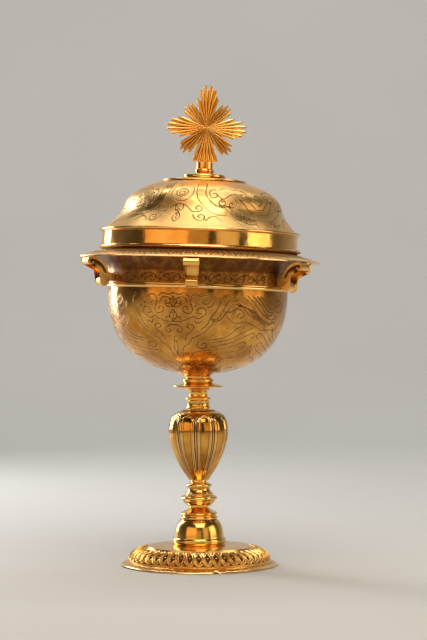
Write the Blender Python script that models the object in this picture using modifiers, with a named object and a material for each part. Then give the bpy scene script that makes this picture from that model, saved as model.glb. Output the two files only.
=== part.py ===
"""Covered ciborium (pyx) of silver-gilt, 300 mm tall.

A spreading foot with a guilloche border carries a turned stem with a lobed baluster knop. The deep
bowl sits on a small saucer, has six scroll brackets round its gallery, and is closed by a domed lid
that lifts off. A cast sunburst cross stands on the lid. The old stem leans a little one way and the
bowl the other, as on the real piece.

Origin: centre of the foot, on the surface that it stands on. +Z is up, the front faces -Y.
"""

from math import cos, pi, radians, sin, sqrt

import bmesh
import bpy
import numpy as np

# Fits and walls, in metres
FIT_GAP = 0.0003
SHEET_WALL = 0.0010
FLANGE_WALL = 0.0009

# Leans and offsets left by old repairs
STEM_LEAN = radians(-0.4)
BOWL_LEAN = radians(1.8)
CROSS_LEAN = radians(1.0)
BOWL_OFFSET = -0.0016
DOME_OFFSET = 0.0016

# Foot
FOOT_RADIUS = 0.0490
FOOT_LIP_WIDTH = 0.0043
FOOT_LIP_HEIGHT = 0.0007
FOOT_RIM_WIDTH = 0.0022
FOOT_HEIGHT = 0.0130
BORDER_FOOT_HEIGHT = 0.0030
BORDER_HEIGHT = 0.0086
BORDER_WIDTH = 0.0122
GUILLOCHE_LINKS = 48
GUILLOCHE_RELIEF = 0.0012

# Drum
DRUM_RADIUS = 0.0153
DRUM_BASE_ROLL = 0.0013
DRUM_BASE_HEIGHT = 0.0042
DRUM_HEIGHT = 0.0152

# Collar and lower knop
COLLAR_RADIUS = 0.0116
COLLAR_WAIST_RADIUS = 0.0058
COLLAR_HEIGHT = 0.0078
KNOP_RADIUS = 0.0114
KNOP_RING_RADIUS = 0.0081
KNOP_NECK_RADIUS = 0.0052
KNOP_HEIGHT = 0.0157

# Baluster knop
BALUSTER_RADIUS = 0.0184
BALUSTER_NECK_RADIUS = 0.0061
BALUSTER_SHOULDER_RADIUS = 0.0105
BALUSTER_LEDGE = 0.0006
BALUSTER_HEIGHT = 0.0445
BALUSTER_LOBES = 10
BALUSTER_LOBE_TURN = radians(13)
BALUSTER_GROOVE = 0.0006
BALUSTER_SWELL = 0.0004

# Neck, disc and bowl saucer
NECK_RADIUS = 0.0075
NECK_RING_DEPTH = 0.0005
NECK_WAIST_RADIUS = 0.0058
NECK_HEIGHT = 0.0116
DISC_RADIUS = 0.0160
DISC_EDGE = 0.0010
DISC_RING_RADIUS = 0.0097
DISC_HEIGHT = 0.0078
SAUCER_RADIUS = 0.0133
SAUCER_WAIST_RADIUS = 0.0081
SAUCER_HEIGHT = 0.0010

# Bowl and gallery
BOWL_RADIUS = 0.0560
BOWL_DEPTH = 0.0524
BOWL_FULLNESS = 2.4
GALLERY_STEP = 0.0028
GALLERY_RADIUS = BOWL_RADIUS + GALLERY_STEP
GALLERY_HEIGHT = 0.0204
FLARE_HEIGHT = 0.0100
RIM_FLARE = 0.0076
RIM_RADIUS = GALLERY_RADIUS + RIM_FLARE
RIB_WIRE_DEPTH = 0.0021
RIB_WIRE_HEIGHT = 0.0022

# Scroll brackets round the gallery
BRACKET_COUNT = 6
BRACKET_TURN = radians(-3)
BRACKET_WALL = 0.0012
BRACKET_TOP_WIDTH = 0.0097
BRACKET_FOOT_WIDTH = 0.0071
BRACKET_OVERHANG = 0.0015
BRACKET_TOP_ROLL = 0.0025
BRACKET_FOOT_ROLL = 0.0032
BRACKET_STANDOFF = 0.0036
BRACKET_LUG_HEIGHT = 0.0040

# Lid
FLANGE_OVERHANG = 0.0097
FLANGE_RADIUS = RIM_RADIUS + FLANGE_OVERHANG
FLANGE_DROP = 0.0028
LID_BAND_STEP = 0.0022
LID_BAND_RADIUS = GALLERY_RADIUS + LID_BAND_STEP
LID_BAND_HEIGHT = 0.0164
LIP_DEPTH = 0.0030
LIP_CLEARANCE = 0.0008
LOWER_MOULDING_DEPTH = 0.0027
UPPER_MOULDING_DEPTH = 0.0019
MOULDING_HEIGHT = 0.0024
MOULDING_RISE = 0.0036
DOME_BASE_STEP = 0.0011
DOME_BASE_RADIUS = LID_BAND_RADIUS - DOME_BASE_STEP
CAVETTO_WIDTH = 0.0107
DOME_RADIUS = DOME_BASE_RADIUS - CAVETTO_WIDTH
CAVETTO_HEIGHT = 0.0132
CROWN_RISE = 0.0165

# Plate, finial and cross
PLATE_RADIUS = 0.0264
PLATE_HEIGHT = 0.0014
PLATE_MARGIN = 0.0014
FINIAL_RADIUS = 0.0132
FINIAL_HEIGHT = 0.0112
SOCKET_RADIUS = 0.0051
SOCKET_RING_DEPTH = 0.0009
CROSS_TOP_ARM = 0.0272
CROSS_SIDE_ARM = 0.0256
CROSS_DIAGONAL = 0.0207
CROSS_DIAGONAL_SPREAD = 0.0011
CROSS_STEM = 0.0212
CROSS_THICKNESS = 0.0024
CROSS_EDGE = 0.0009
CROSS_HUB_RADIUS = 0.0048
CROSS_VALLEY_RADIUS = 0.0104
ARM_RAYS = 6
DIAGONAL_RAYS = 4
RAY_SPACING = radians(7.6)

# Facets round the foot's border and the turned pieces
LINK_STEPS = 4
HOLLOW_STEPS = 24
WIDE_STEPS = 30
PLATE_STEPS = 22
STEM_STEPS = 18
LOBE_STEPS = 4


# The scene, materials and the ways of making a piece


def start_scene():
    """Clear the scene and open the collection that holds the parts."""
    for old in list(bpy.data.objects):
        bpy.data.objects.remove(old, do_unlink=True)
    collection = bpy.data.collections.new("ciborium")
    bpy.context.scene.collection.children.link(collection)


def gilt(name, colour, roughness):
    """A gilt surface as a Principled material."""
    material = bpy.data.materials.new(name)
    material.use_nodes = True
    shader = material.node_tree.nodes["Principled BSDF"]
    shader.inputs["Base Color"].default_value = (*colour, 1.0)
    shader.inputs["Roughness"].default_value = roughness
    shader.inputs["Metallic"].default_value = 1.0
    material.diffuse_color = (*colour, 1.0)
    return material


def add_piece(name, mesh, material, parent, height=0.0):
    """Link a mesh to the parts, at a height on its parent axis, smooth between sharp edges."""
    piece = bpy.data.objects.new(name, mesh)
    mesh.materials.append(material)
    mesh.shade_smooth()
    mesh.set_sharp_from_angle(angle=radians(40))
    piece.parent = parent
    piece.location = (0.0, 0.0, height)
    bpy.data.collections["ciborium"].objects.link(piece)
    return piece


def add_axis(name, parent, location, lean):
    """An empty that carries the pieces above it and leans them sideways."""
    empty = bpy.data.objects.new(name, None)
    empty.empty_display_size = FOOT_RADIUS / 2
    empty.location = location
    empty.rotation_euler = (0.0, lean, 0.0)
    empty.parent = parent
    bpy.data.collections["ciborium"].objects.link(empty)
    return empty


def turned(name, profile, steps, material, parent, height=0.0, ring=False):
    """Turn (radius, height) points, given down the outside, about Z, with a facet centred on +X.

    A ring's section is closed.
    """
    mesh = bpy.data.meshes.new(name)
    points = [(radius, 0.0, z) for radius, z in profile]
    edges = [(i, i + 1) for i in range(len(points) - 1)]
    if ring:
        edges.append((len(points) - 1, 0))
    mesh.from_pydata(points, edges, [])
    piece = add_piece(name, mesh, material, parent, height)
    screw = piece.modifiers.new("turn", "SCREW")
    screw.steps = steps
    screw.render_steps = steps
    screw.use_merge_vertices = True
    screw.merge_threshold = 0.00001
    screw.use_smooth_shade = True
    piece.rotation_euler = (0.0, 0.0, pi / steps)
    return piece


def reshape(piece, move):
    """Apply the modifiers of a piece, then pass its points through a function."""
    evaluated = piece.evaluated_get(bpy.context.evaluated_depsgraph_get())
    mesh = bpy.data.meshes.new_from_object(evaluated)
    points = np.empty(len(mesh.vertices) * 3)
    mesh.vertices.foreach_get("co", points)
    mesh.vertices.foreach_set("co", move(points.reshape(-1, 3)).ravel())
    mesh.update()
    piece.modifiers.clear()
    piece.data = mesh


def loft(name, rings, material, parent, height=0.0):
    """Join a stack of rings, from a pole to a pole. Each count divides the next or the reverse."""
    mesh = bpy.data.meshes.new(name)
    body = bmesh.new()
    rows = [[body.verts.new(point) for point in ring] for ring in rings]
    for upper, lower in zip(rows, rows[1:]):
        longest = max(len(upper), len(lower))
        for step in range(longest):
            here = (step + 0.5) / longest
            past = (step + 1.5) / longest
            corners = [upper[int(here * len(upper))], lower[int(here * len(lower))],
                       lower[int(past * len(lower)) % len(lower)],
                       upper[int(past * len(upper)) % len(upper)]]
            body.faces.new(list(dict.fromkeys(corners)))
    body.to_mesh(mesh)
    body.free()
    return add_piece(name, mesh, material, parent, height)


def bead(radius, bottom, top, depth):
    """Half-round moulding as three points, from its top edge to its bottom edge."""
    return [(radius - depth, top), (radius, (top + bottom) / 2), (radius - depth, bottom)]


# Foot


def strand_height(turn, row):
    """Height, 0 to 1, of two strands that cross once in every link. The row runs from -1 to 1."""
    swing = 0.6 * cos(GUILLOCHE_LINKS * turn / 2)
    strand_width = 0.4
    first = np.exp(-((row - swing) / strand_width) ** 2)
    second = np.exp(-((row + swing) / strand_width) ** 2)
    return max(first, second)


def foot_rings():
    """Rings down the outside of the foot and back up its hollow underside."""
    border_outer = FOOT_RADIUS - FOOT_LIP_WIDTH
    border_inner = border_outer - BORDER_WIDTH
    border_top = BORDER_FOOT_HEIGHT + BORDER_HEIGHT
    seat_radius = DRUM_RADIUS + DRUM_BASE_ROLL

    def circle(radius, height, count):
        turns = np.arange(count) * 2 * pi / count
        height = np.broadcast_to(height, count)
        return np.stack([radius * np.cos(turns), radius * np.sin(turns), height], axis=1)

    def plain(radius, height):
        return circle(radius, height, GUILLOCHE_LINKS)

    def carved(share):
        angle = share * pi / 2
        count = GUILLOCHE_LINKS * LINK_STEPS
        turns = np.arange(count) * 2 * pi / count
        relief = np.array([strand_height(turn, 2 * share - 1) for turn in turns])
        lift = GUILLOCHE_RELIEF * relief
        width = BORDER_WIDTH - GUILLOCHE_RELIEF
        rise = BORDER_HEIGHT - GUILLOCHE_RELIEF
        radius = border_inner + (width + lift) * cos(angle)
        height = BORDER_FOOT_HEIGHT + (rise + lift) * sin(angle)
        return circle(radius, height, count)

    hollow_width = BORDER_WIDTH - GUILLOCHE_RELIEF - SHEET_WALL
    hollow_rise = BORDER_HEIGHT - GUILLOCHE_RELIEF

    def hollow(share):
        angle = share * pi / 2
        return circle(border_inner + hollow_width * cos(angle),
                      BORDER_FOOT_HEIGHT - SHEET_WALL + hollow_rise * sin(angle), HOLLOW_STEPS)

    rings = [np.array([[0.0, 0.0, FOOT_HEIGHT]]), circle(seat_radius, FOOT_HEIGHT, HOLLOW_STEPS)]
    rings.append(plain(border_inner, border_top))
    rings += [carved(share) for share in (0.84, 0.62, 0.38, 0.14)]
    rings.append(plain(border_outer, BORDER_FOOT_HEIGHT))
    rings.append(plain(FOOT_RADIUS - FOOT_RIM_WIDTH, FOOT_LIP_HEIGHT + SHEET_WALL))
    rings.append(plain(FOOT_RADIUS, FOOT_LIP_HEIGHT))
    rings.append(plain(FOOT_RADIUS, 0.0))
    rings.append(plain(FOOT_RADIUS - FOOT_RIM_WIDTH, 0.0))
    rings += [hollow(share) for share in (0.0, 0.45, 0.8, 1.0)]
    rings.append(circle(seat_radius, FOOT_HEIGHT - SHEET_WALL, HOLLOW_STEPS))
    rings.append(np.array([[0.0, 0.0, FOOT_HEIGHT - SHEET_WALL]]))
    return rings


# Stem


def drum_profile():
    """A bell: a rolled base, a plain wall and a rounded shoulder."""
    shoulder = DRUM_HEIGHT * 0.52
    profile = [(0.0, DRUM_HEIGHT)]
    for angle in np.linspace(pi / 2, 0, 4):
        radius = COLLAR_RADIUS + (DRUM_RADIUS - COLLAR_RADIUS) * cos(angle)
        profile.append((radius, DRUM_HEIGHT - shoulder + shoulder * sin(angle)))
    profile += bead(DRUM_RADIUS + DRUM_BASE_ROLL, 0.0, DRUM_BASE_HEIGHT, DRUM_BASE_ROLL)
    profile.append((0.0, 0.0))
    return profile


def collar_profile():
    """A double lip on the drum that draws in to a thin waist."""
    height = COLLAR_HEIGHT
    return [(0.0, height),
            (COLLAR_WAIST_RADIUS, height),
            (COLLAR_WAIST_RADIUS * 1.35, height * 0.78),
            (COLLAR_RADIUS * 0.97, height * 0.5),
            (COLLAR_RADIUS * 0.92, height * 0.26),
            (COLLAR_RADIUS, height * 0.12),
            (COLLAR_RADIUS, 0.0),
            (0.0, 0.0)]


def knop_profile():
    """A ridged knop below, a small ring above it and a neck under the baluster."""
    height = KNOP_HEIGHT
    return [(0.0, height),
            (KNOP_NECK_RADIUS, height),
            (KNOP_NECK_RADIUS, height * 0.95),
            (KNOP_RING_RADIUS, height * 0.82),
            (KNOP_RING_RADIUS * 0.86, height * 0.69),
            (KNOP_RADIUS * 0.78, height * 0.46),
            (KNOP_RADIUS, height * 0.3),
            (KNOP_RADIUS * 0.72, height * 0.1),
            (KNOP_RADIUS * 0.68, 0.0),
            (0.0, 0.0)]


def baluster_profile():
    """A pear: a sine curve up to the widest point, then a round shoulder and a small top."""
    widest = BALUSTER_HEIGHT * 0.70
    shoulder_rise = BALUSTER_HEIGHT * 0.27
    profile = [(0.0, BALUSTER_HEIGHT), (NECK_RADIUS + BALUSTER_LEDGE, BALUSTER_HEIGHT)]
    for angle in np.linspace(pi / 2, 0.0, 5):
        radius = BALUSTER_SHOULDER_RADIUS + (BALUSTER_RADIUS - BALUSTER_SHOULDER_RADIUS) * cos(angle)
        profile.append((radius, widest + shoulder_rise * sin(angle)))
    for share in np.linspace(0.84, 0.0, 6):
        swell = (BALUSTER_RADIUS - BALUSTER_NECK_RADIUS) * sin(share * pi / 2)
        profile.append((BALUSTER_NECK_RADIUS + swell, widest * share))
    profile.append((0.0, 0.0))
    return profile


def cut_lobes(points):
    """Swell the panels and sink the grooves between them, fading at the neck and the shoulder.

    The middle of one panel lies on the piece's own +X axis.
    """
    share = points[:, 2] / BALUSTER_HEIGHT
    fade = np.clip(share * 4, 0, 1) * np.clip((0.97 - share) * 9, 0, 1)
    radius = np.hypot(points[:, 0], points[:, 1])
    angle = np.arctan2(points[:, 1], points[:, 0])
    wave = np.cos(BALUSTER_LOBES * angle)
    relief = np.where(wave > 0, BALUSTER_SWELL, BALUSTER_GROOVE) * wave * fade
    scale = 1 + relief / np.maximum(radius, BALUSTER_NECK_RADIUS)
    points[:, 0] *= scale
    points[:, 1] *= scale
    return points


def neck_profile():
    """A short sleeve with one ring, drawn in to a spool under the disc."""
    height = NECK_HEIGHT
    return [(0.0, height),
            (NECK_RADIUS, height),
            (NECK_WAIST_RADIUS, height * 0.86),
            (NECK_WAIST_RADIUS, height * 0.72),
            (NECK_RADIUS + NECK_RING_DEPTH, height * 0.5),
            (NECK_RADIUS * 0.92, height * 0.38),
            (NECK_RADIUS * 0.92, height * 0.2),
            (NECK_RADIUS, height * 0.1),
            (NECK_RADIUS, 0.0),
            (0.0, 0.0)]


def disc_profile():
    """A thin sharp-edged disc with a ring and a spool on it."""
    disc_foot = DISC_HEIGHT * 0.16
    profile = [(0.0, DISC_HEIGHT), (SAUCER_WAIST_RADIUS, DISC_HEIGHT)]
    profile += bead(DISC_RING_RADIUS, DISC_HEIGHT * 0.5, DISC_HEIGHT * 0.88, DISC_RING_RADIUS * 0.12)
    profile.append((DISC_RADIUS * 0.7, DISC_HEIGHT * 0.42))
    profile.append((DISC_RADIUS, disc_foot + DISC_EDGE))
    profile.append((DISC_RADIUS, disc_foot))
    profile += [(NECK_RADIUS, 0.0), (0.0, 0.0)]
    return profile


def bowl_underside(radius):
    """Height of the bowl's outer surface over its lowest point, at a radius from its axis."""
    share = min(radius / BOWL_RADIUS, 1.0)
    return BOWL_DEPTH * (1 - (1 - share ** BOWL_FULLNESS) ** (1 / BOWL_FULLNESS))


def saucer_profile():
    """A small saucer, dished on top to take the bowl."""
    middle = SAUCER_RADIUS / 2
    lip = SAUCER_HEIGHT + bowl_underside(SAUCER_RADIUS)
    return [(0.0, SAUCER_HEIGHT),
            (middle, SAUCER_HEIGHT + bowl_underside(middle)),
            (SAUCER_RADIUS, lip),
            (SAUCER_RADIUS, lip - SAUCER_HEIGHT),
            (SAUCER_WAIST_RADIUS, 0.0),
            (0.0, 0.0)]


# Bowl


def gallery_line(count):
    """Outer line of the flared part of the gallery, from the rim down, as an easing curve."""
    line = []
    for share in np.linspace(0.0, 1.0, count):
        radius = GALLERY_RADIUS + (RIM_RADIUS - GALLERY_RADIUS) * (1 - share) ** 2
        line.append((radius, BOWL_DEPTH + GALLERY_HEIGHT - FLARE_HEIGHT * share))
    return line


def belly_line(wall, count):
    """Full-bellied quarter curve from the widest point down to the axis, a wall inside the bowl."""
    line = []
    for angle in np.linspace(0.0, pi / 2, count):
        radius = (BOWL_RADIUS - wall) * max(cos(angle), 0.0) ** (2 / BOWL_FULLNESS)
        drop = (BOWL_DEPTH - wall) * sin(angle) ** (2 / BOWL_FULLNESS)
        line.append((radius, BOWL_DEPTH - drop))
    line[-1] = (0.0, wall)
    return line


def bowl_profile():
    """Open cup: up the inner wall, over the rim, down the gallery and under the rib wire."""
    step_height = BOWL_DEPTH + RIB_WIRE_HEIGHT + FIT_GAP
    inner = [(radius - SHEET_WALL, height) for radius, height in gallery_line(3)]
    inner.append((GALLERY_RADIUS - SHEET_WALL, step_height + SHEET_WALL))
    inner += belly_line(SHEET_WALL, 6)
    outer = gallery_line(4) + [(GALLERY_RADIUS, step_height), (BOWL_RADIUS, step_height)]
    outer += belly_line(0.0, 9)
    return inner[::-1] + outer


def rib_wire_profile():
    """Section of the wire that covers the joint under the gallery."""
    inner = BOWL_RADIUS + FIT_GAP
    roll = RIB_WIRE_DEPTH * 0.6
    section = bead(inner + RIB_WIRE_DEPTH, BOWL_DEPTH, BOWL_DEPTH + RIB_WIRE_HEIGHT, roll)
    return section + [(inner, BOWL_DEPTH), (inner, BOWL_DEPTH + RIB_WIRE_HEIGHT)]


def arc(centre, radius, start, end, count):
    """Points on a circle in the side view, between two angles in degrees."""
    return [(centre[0] + radius * cos(angle), centre[1] + radius * sin(angle))
            for angle in np.radians(np.linspace(start, end, count))]


def bracket_outline():
    """Side view of a bracket: a strip rolled outwards at both ends, with a lug to the gallery."""
    rim = BOWL_DEPTH + GALLERY_HEIGHT
    half = BRACKET_WALL / 2
    back = GALLERY_RADIUS + BRACKET_STANDOFF + half
    foot_roll = BRACKET_FOOT_ROLL - half
    top_roll = BRACKET_TOP_ROLL - half
    foot_centre = (back + foot_roll, BOWL_DEPTH + BRACKET_FOOT_ROLL + FIT_GAP)
    reach = FLANGE_RADIUS + BRACKET_OVERHANG
    top_centre = (reach - BRACKET_TOP_ROLL, rim - FLANGE_DROP - BRACKET_TOP_ROLL)
    web_rise = top_centre[1] + top_roll - foot_centre[1]
    web_reach = top_centre[0] - back
    lug_angle = np.degrees(np.arcsin(BRACKET_LUG_HEIGHT / web_rise))

    def web(angle):
        turn = radians(angle)
        return (back + web_reach * (1 - cos(turn)), foot_centre[1] + web_rise * sin(turn))

    path = arc(foot_centre, foot_roll, 110, -180, 6)
    lug_step = len(path) - 1
    path += [web(lug_angle), web(40), web(62)]
    path += arc(top_centre, top_roll, 90, -150, 6)
    path = np.array(path)
    along = np.gradient(path, axis=0)
    along /= np.linalg.norm(along, axis=1)[:, None]
    across = np.stack([-along[:, 1], along[:, 0]], axis=1)
    inner = path + across * half
    outer = path - across * half
    lug_face = GALLERY_RADIUS + FIT_GAP
    lug = [(lug_face, inner[lug_step][1]), (lug_face, inner[lug_step + 1][1])]
    side = [*inner[:lug_step + 1], *lug, *inner[lug_step + 1:], *outer[::-1]]
    return np.array(side), foot_centre[1], top_centre[1]


def add_bracket(name, turn, material, parent):
    """One cast bracket, its width tapering down to the foot, turned to its place on the gallery."""
    side, low, high = bracket_outline()
    share = (side[:, 1] - low) / (high - low)
    half_width = (BRACKET_FOOT_WIDTH + (BRACKET_TOP_WIDTH - BRACKET_FOOT_WIDTH) * share) / 2
    mesh = bpy.data.meshes.new(name)
    body = bmesh.new()
    rows = []
    for hand in (-1, 1):
        rows.append([body.verts.new((hand * half, -reach, height))
                     for half, (reach, height) in zip(half_width, side)])
    body.faces.new(rows[0])
    body.faces.new(rows[1][::-1])
    count = len(side)
    for step in range(count):
        past = (step + 1) % count
        body.faces.new([rows[0][past], rows[0][step], rows[1][step], rows[1][past]])
    bmesh.ops.recalc_face_normals(body, faces=body.faces)
    body.to_mesh(mesh)
    body.free()
    bracket = add_piece(name, mesh, material, parent)
    bracket.rotation_euler = (0.0, 0.0, turn)
    return bracket


# Lid


def flange_underside(radius):
    """Height over the rim of the cone that the lid's flange rests on."""
    slope = FLANGE_DROP / (FLANGE_RADIUS - RIM_RADIUS)
    return FIT_GAP - slope * (radius - RIM_RADIUS)


def dome_line(wall, crown_count, cavetto_count):
    """Dome from its flat crown down an elliptic shoulder and a hollow cavetto to the base."""
    waist_height = LID_BAND_HEIGHT + CAVETTO_HEIGHT
    radius = DOME_RADIUS - wall
    flat = PLATE_RADIUS + PLATE_MARGIN - wall / 2
    top = CROWN_RISE - wall
    rise = top / sqrt(1 - (flat / radius) ** 2)
    line = [(0.0, waist_height + top)]
    start = np.arccos(flat / radius)
    for angle in np.linspace(start, 0.0, crown_count):
        line.append((radius * cos(angle), waist_height + rise * sin(angle)))
    for share in np.linspace(0.0, 1.0, cavetto_count)[1:]:
        flare = (DOME_BASE_RADIUS - DOME_RADIUS) * share ** 1.35
        line.append((radius + flare, waist_height - CAVETTO_HEIGHT * share))
    return line


def lid_profile():
    """Dome, two mouldings with a plain band between, flange, and the lip that drops into the bowl."""
    band_inner = LID_BAND_RADIUS - SHEET_WALL
    lip_outer = GALLERY_RADIUS - SHEET_WALL - LIP_CLEARANCE
    lip_inner = lip_outer - SHEET_WALL
    outer = dome_line(0.0, 5, 4)
    outer += bead(LID_BAND_RADIUS + UPPER_MOULDING_DEPTH,
                  LID_BAND_HEIGHT - MOULDING_HEIGHT, LID_BAND_HEIGHT, UPPER_MOULDING_DEPTH)
    outer += bead(LID_BAND_RADIUS + LOWER_MOULDING_DEPTH,
                  MOULDING_RISE, MOULDING_RISE + MOULDING_HEIGHT, LOWER_MOULDING_DEPTH)
    outer.append((LID_BAND_RADIUS, flange_underside(LID_BAND_RADIUS) + FLANGE_WALL))
    outer.append((FLANGE_RADIUS, flange_underside(FLANGE_RADIUS) + FLANGE_WALL))
    outer.append((FLANGE_RADIUS, flange_underside(FLANGE_RADIUS)))
    outer.append((lip_outer, flange_underside(lip_outer)))
    outer += [(lip_outer, -LIP_DEPTH), (lip_inner, -LIP_DEPTH)]
    inner = [(lip_inner, flange_underside(lip_inner) + FLANGE_WALL)]
    inner.append((band_inner, flange_underside(band_inner) + FLANGE_WALL))
    inner.append((band_inner, LID_BAND_HEIGHT - SHEET_WALL))
    inner += dome_line(SHEET_WALL, 4, 3)[::-1]
    return outer + inner


def shift_dome(points):
    """Move the dome sideways on its band: all of it above the waist, none at the band."""
    share = np.clip((points[:, 2] - LID_BAND_HEIGHT) / CAVETTO_HEIGHT, 0, 1)
    points[:, 0] += DOME_OFFSET * share
    return points


# Finial and cross


def plate_profile():
    """Thin round plate on the crown of the dome, its edge a half round."""
    return [(0.0, PLATE_HEIGHT), *bead(PLATE_RADIUS, 0.0, PLATE_HEIGHT, PLATE_HEIGHT / 2), (0.0, 0.0)]


def finial_profile():
    """Spreading collar with a ring and a socket for the cross."""
    height = FINIAL_HEIGHT
    return [(0.0, height),
            (SOCKET_RADIUS, height),
            (SOCKET_RADIUS, height * 0.6),
            (SOCKET_RADIUS + SOCKET_RING_DEPTH, height * 0.5),
            (SOCKET_RADIUS * 1.15, height * 0.4),
            (FINIAL_RADIUS, height * 0.28),
            (FINIAL_RADIUS, height * 0.21),
            (FINIAL_RADIUS * 0.85, 0.0),
            (0.0, 0.0)]


def cross_rays():
    """Angle from upright, length, and radius of the valley after it, for each ray in turn."""
    rays = []
    for quarter in range(4):
        for group, count in ((0, ARM_RAYS), (pi / 4, DIAGONAL_RAYS)):
            middle = quarter * pi / 2 + group
            for step in range(count):
                offset = (step - (count - 1) / 2) * RAY_SPACING
                taper = 1 - 0.28 * (offset / (2.5 * RAY_SPACING)) ** 2
                length = (CROSS_TOP_ARM if quarter == 0 else CROSS_SIDE_ARM) * taper
                valley = 0.8 * length
                if group:
                    length = (CROSS_DIAGONAL - CROSS_DIAGONAL_SPREAD * cos(middle) * sqrt(2)) * taper
                    valley = 0.8 * length
                elif quarter == 2:
                    length = CROSS_STEM / cos(offset)
                    valley = CROSS_STEM / cos(offset + RAY_SPACING / 2)
                if step == count - 1:
                    valley = CROSS_VALLEY_RADIUS
                rays.append((middle + offset, length, valley))
    return rays


def cross_rings():
    """Ridged sunburst as rings from the front pole to the back pole, in the XZ plane."""
    rays = cross_rays()
    angles = np.array([angle for angle, length, valley in rays])
    gaps = (angles + np.roll(angles, -1)) / 2
    gaps[-1] = angles[-1] + (angles[0] + 2 * pi - angles[-1]) / 2
    turns = np.stack([angles, gaps], axis=1).ravel()
    reach = np.array([(length, valley) for angle, length, valley in rays]).ravel()
    ridge = np.tile([1.0, 0.0], len(rays))

    def ring(radius, depth):
        points = np.stack([radius * np.sin(turns), -depth, CROSS_STEM + radius * np.cos(turns)], 1)
        return points[::-1]

    hub = CROSS_EDGE / 2 + (CROSS_THICKNESS - CROSS_EDGE) / 2 * ridge
    edge = np.full(len(turns), CROSS_EDGE / 2)
    hub_radius = np.full(len(turns), CROSS_HUB_RADIUS)
    front = np.array([[0.0, -CROSS_THICKNESS / 2, CROSS_STEM]])
    back = front * (1, -1, 1)
    return [front, ring(hub_radius, hub), ring(reach, edge), ring(reach, -edge),
            ring(hub_radius, -hub), back]


# The whole piece, stacked from the foot up


def build():
    """Make every piece, each standing on the one below with the fitting gap between."""
    start_scene()
    polished = gilt("polished gilt", (0.83, 0.50, 0.16), 0.16)
    worn = gilt("worn gilt", (0.76, 0.46, 0.17), 0.28)
    cast = gilt("cast gilt", (0.80, 0.53, 0.22), 0.34)
    engraved = gilt("engraved gilt", (0.70, 0.41, 0.13), 0.24)

    loft("foot", foot_rings(), cast, None)
    stem_axis = add_axis("stem_axis", None, (0.0, 0.0, FOOT_HEIGHT), STEM_LEAN)
    stem = [("foot_drum", drum_profile(), DRUM_HEIGHT, polished),
            ("drum_collar", collar_profile(), COLLAR_HEIGHT, polished),
            ("lower_knop", knop_profile(), KNOP_HEIGHT, polished),
            ("baluster_knop", baluster_profile(), BALUSTER_HEIGHT, worn),
            ("neck_collar", neck_profile(), NECK_HEIGHT, polished),
            ("stem_disc", disc_profile(), DISC_HEIGHT, polished)]
    level = FIT_GAP
    for name, profile, height, material in stem:
        steps = BALUSTER_LOBES * LOBE_STEPS if name == "baluster_knop" else STEM_STEPS
        piece = turned(name, profile, steps, material, stem_axis, level)
        if name == "baluster_knop":
            piece.rotation_euler = (0.0, 0.0, BALUSTER_LOBE_TURN - pi / 2)
            reshape(piece, cut_lobes)
        level += height + FIT_GAP

    lean = BOWL_LEAN - STEM_LEAN
    level += SAUCER_WAIST_RADIUS * abs(sin(lean))
    saucer_axis = add_axis("saucer_axis", stem_axis, (BOWL_OFFSET, 0.0, level), lean)
    turned("bowl_saucer", saucer_profile(), STEM_STEPS, polished, saucer_axis)
    bowl_axis = add_axis("bowl_axis", saucer_axis, (0.0, 0.0, SAUCER_HEIGHT + FIT_GAP), 0.0)
    turned("bowl", bowl_profile(), WIDE_STEPS, engraved, bowl_axis)
    turned("rib_wire", rib_wire_profile(), WIDE_STEPS, polished, bowl_axis, ring=True)
    for step in range(BRACKET_COUNT):
        turn = BRACKET_TURN + step * 2 * pi / BRACKET_COUNT
        add_bracket(f"bracket_{step + 1}", turn, cast, bowl_axis)

    rim = BOWL_DEPTH + GALLERY_HEIGHT
    lid = turned("lid", lid_profile(), WIDE_STEPS, engraved, bowl_axis, rim)
    reshape(lid, shift_dome)
    crown = rim + LID_BAND_HEIGHT + CAVETTO_HEIGHT + CROWN_RISE + FIT_GAP
    dome_axis = add_axis("dome_axis", bowl_axis, (DOME_OFFSET, 0.0, crown), 0.0)
    turned("lid_top_plate", plate_profile(), PLATE_STEPS, polished, dome_axis)
    finial_foot = PLATE_HEIGHT + FIT_GAP
    turned("finial", finial_profile(), STEM_STEPS, polished, dome_axis, finial_foot)
    cross_foot = finial_foot + FINIAL_HEIGHT + FIT_GAP
    cross_axis = add_axis("cross_axis", dome_axis, (0.0, 0.0, cross_foot), CROSS_LEAN)
    loft("cross", cross_rings(), cast, cross_axis)


build()
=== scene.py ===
from math import cos, pi, radians, sin

import bpy
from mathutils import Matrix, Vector
import numpy as np


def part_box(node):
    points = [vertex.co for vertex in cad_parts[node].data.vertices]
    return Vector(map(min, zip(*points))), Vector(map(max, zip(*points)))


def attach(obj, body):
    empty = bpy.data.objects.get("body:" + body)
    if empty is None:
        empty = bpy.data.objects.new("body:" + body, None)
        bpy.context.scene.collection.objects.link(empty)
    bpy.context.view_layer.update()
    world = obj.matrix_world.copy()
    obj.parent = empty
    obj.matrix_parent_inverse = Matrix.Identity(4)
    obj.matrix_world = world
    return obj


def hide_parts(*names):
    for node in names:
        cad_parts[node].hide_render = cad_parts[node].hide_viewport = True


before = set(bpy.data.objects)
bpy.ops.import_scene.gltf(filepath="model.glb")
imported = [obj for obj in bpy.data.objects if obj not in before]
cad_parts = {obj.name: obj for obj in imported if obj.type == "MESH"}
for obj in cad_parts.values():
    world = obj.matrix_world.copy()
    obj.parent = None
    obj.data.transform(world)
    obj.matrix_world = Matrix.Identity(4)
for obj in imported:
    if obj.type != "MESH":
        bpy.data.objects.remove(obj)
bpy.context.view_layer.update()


# The foot: a spreading round foot raised from one sheet of silver and gilded, hollow below. A cast
# and chased border of two interlaced double bands runs round it, with a boss in every eye. The
# polished top mirrors the drum; the thin lip is bent up a little at the left and nicked in front.

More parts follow.
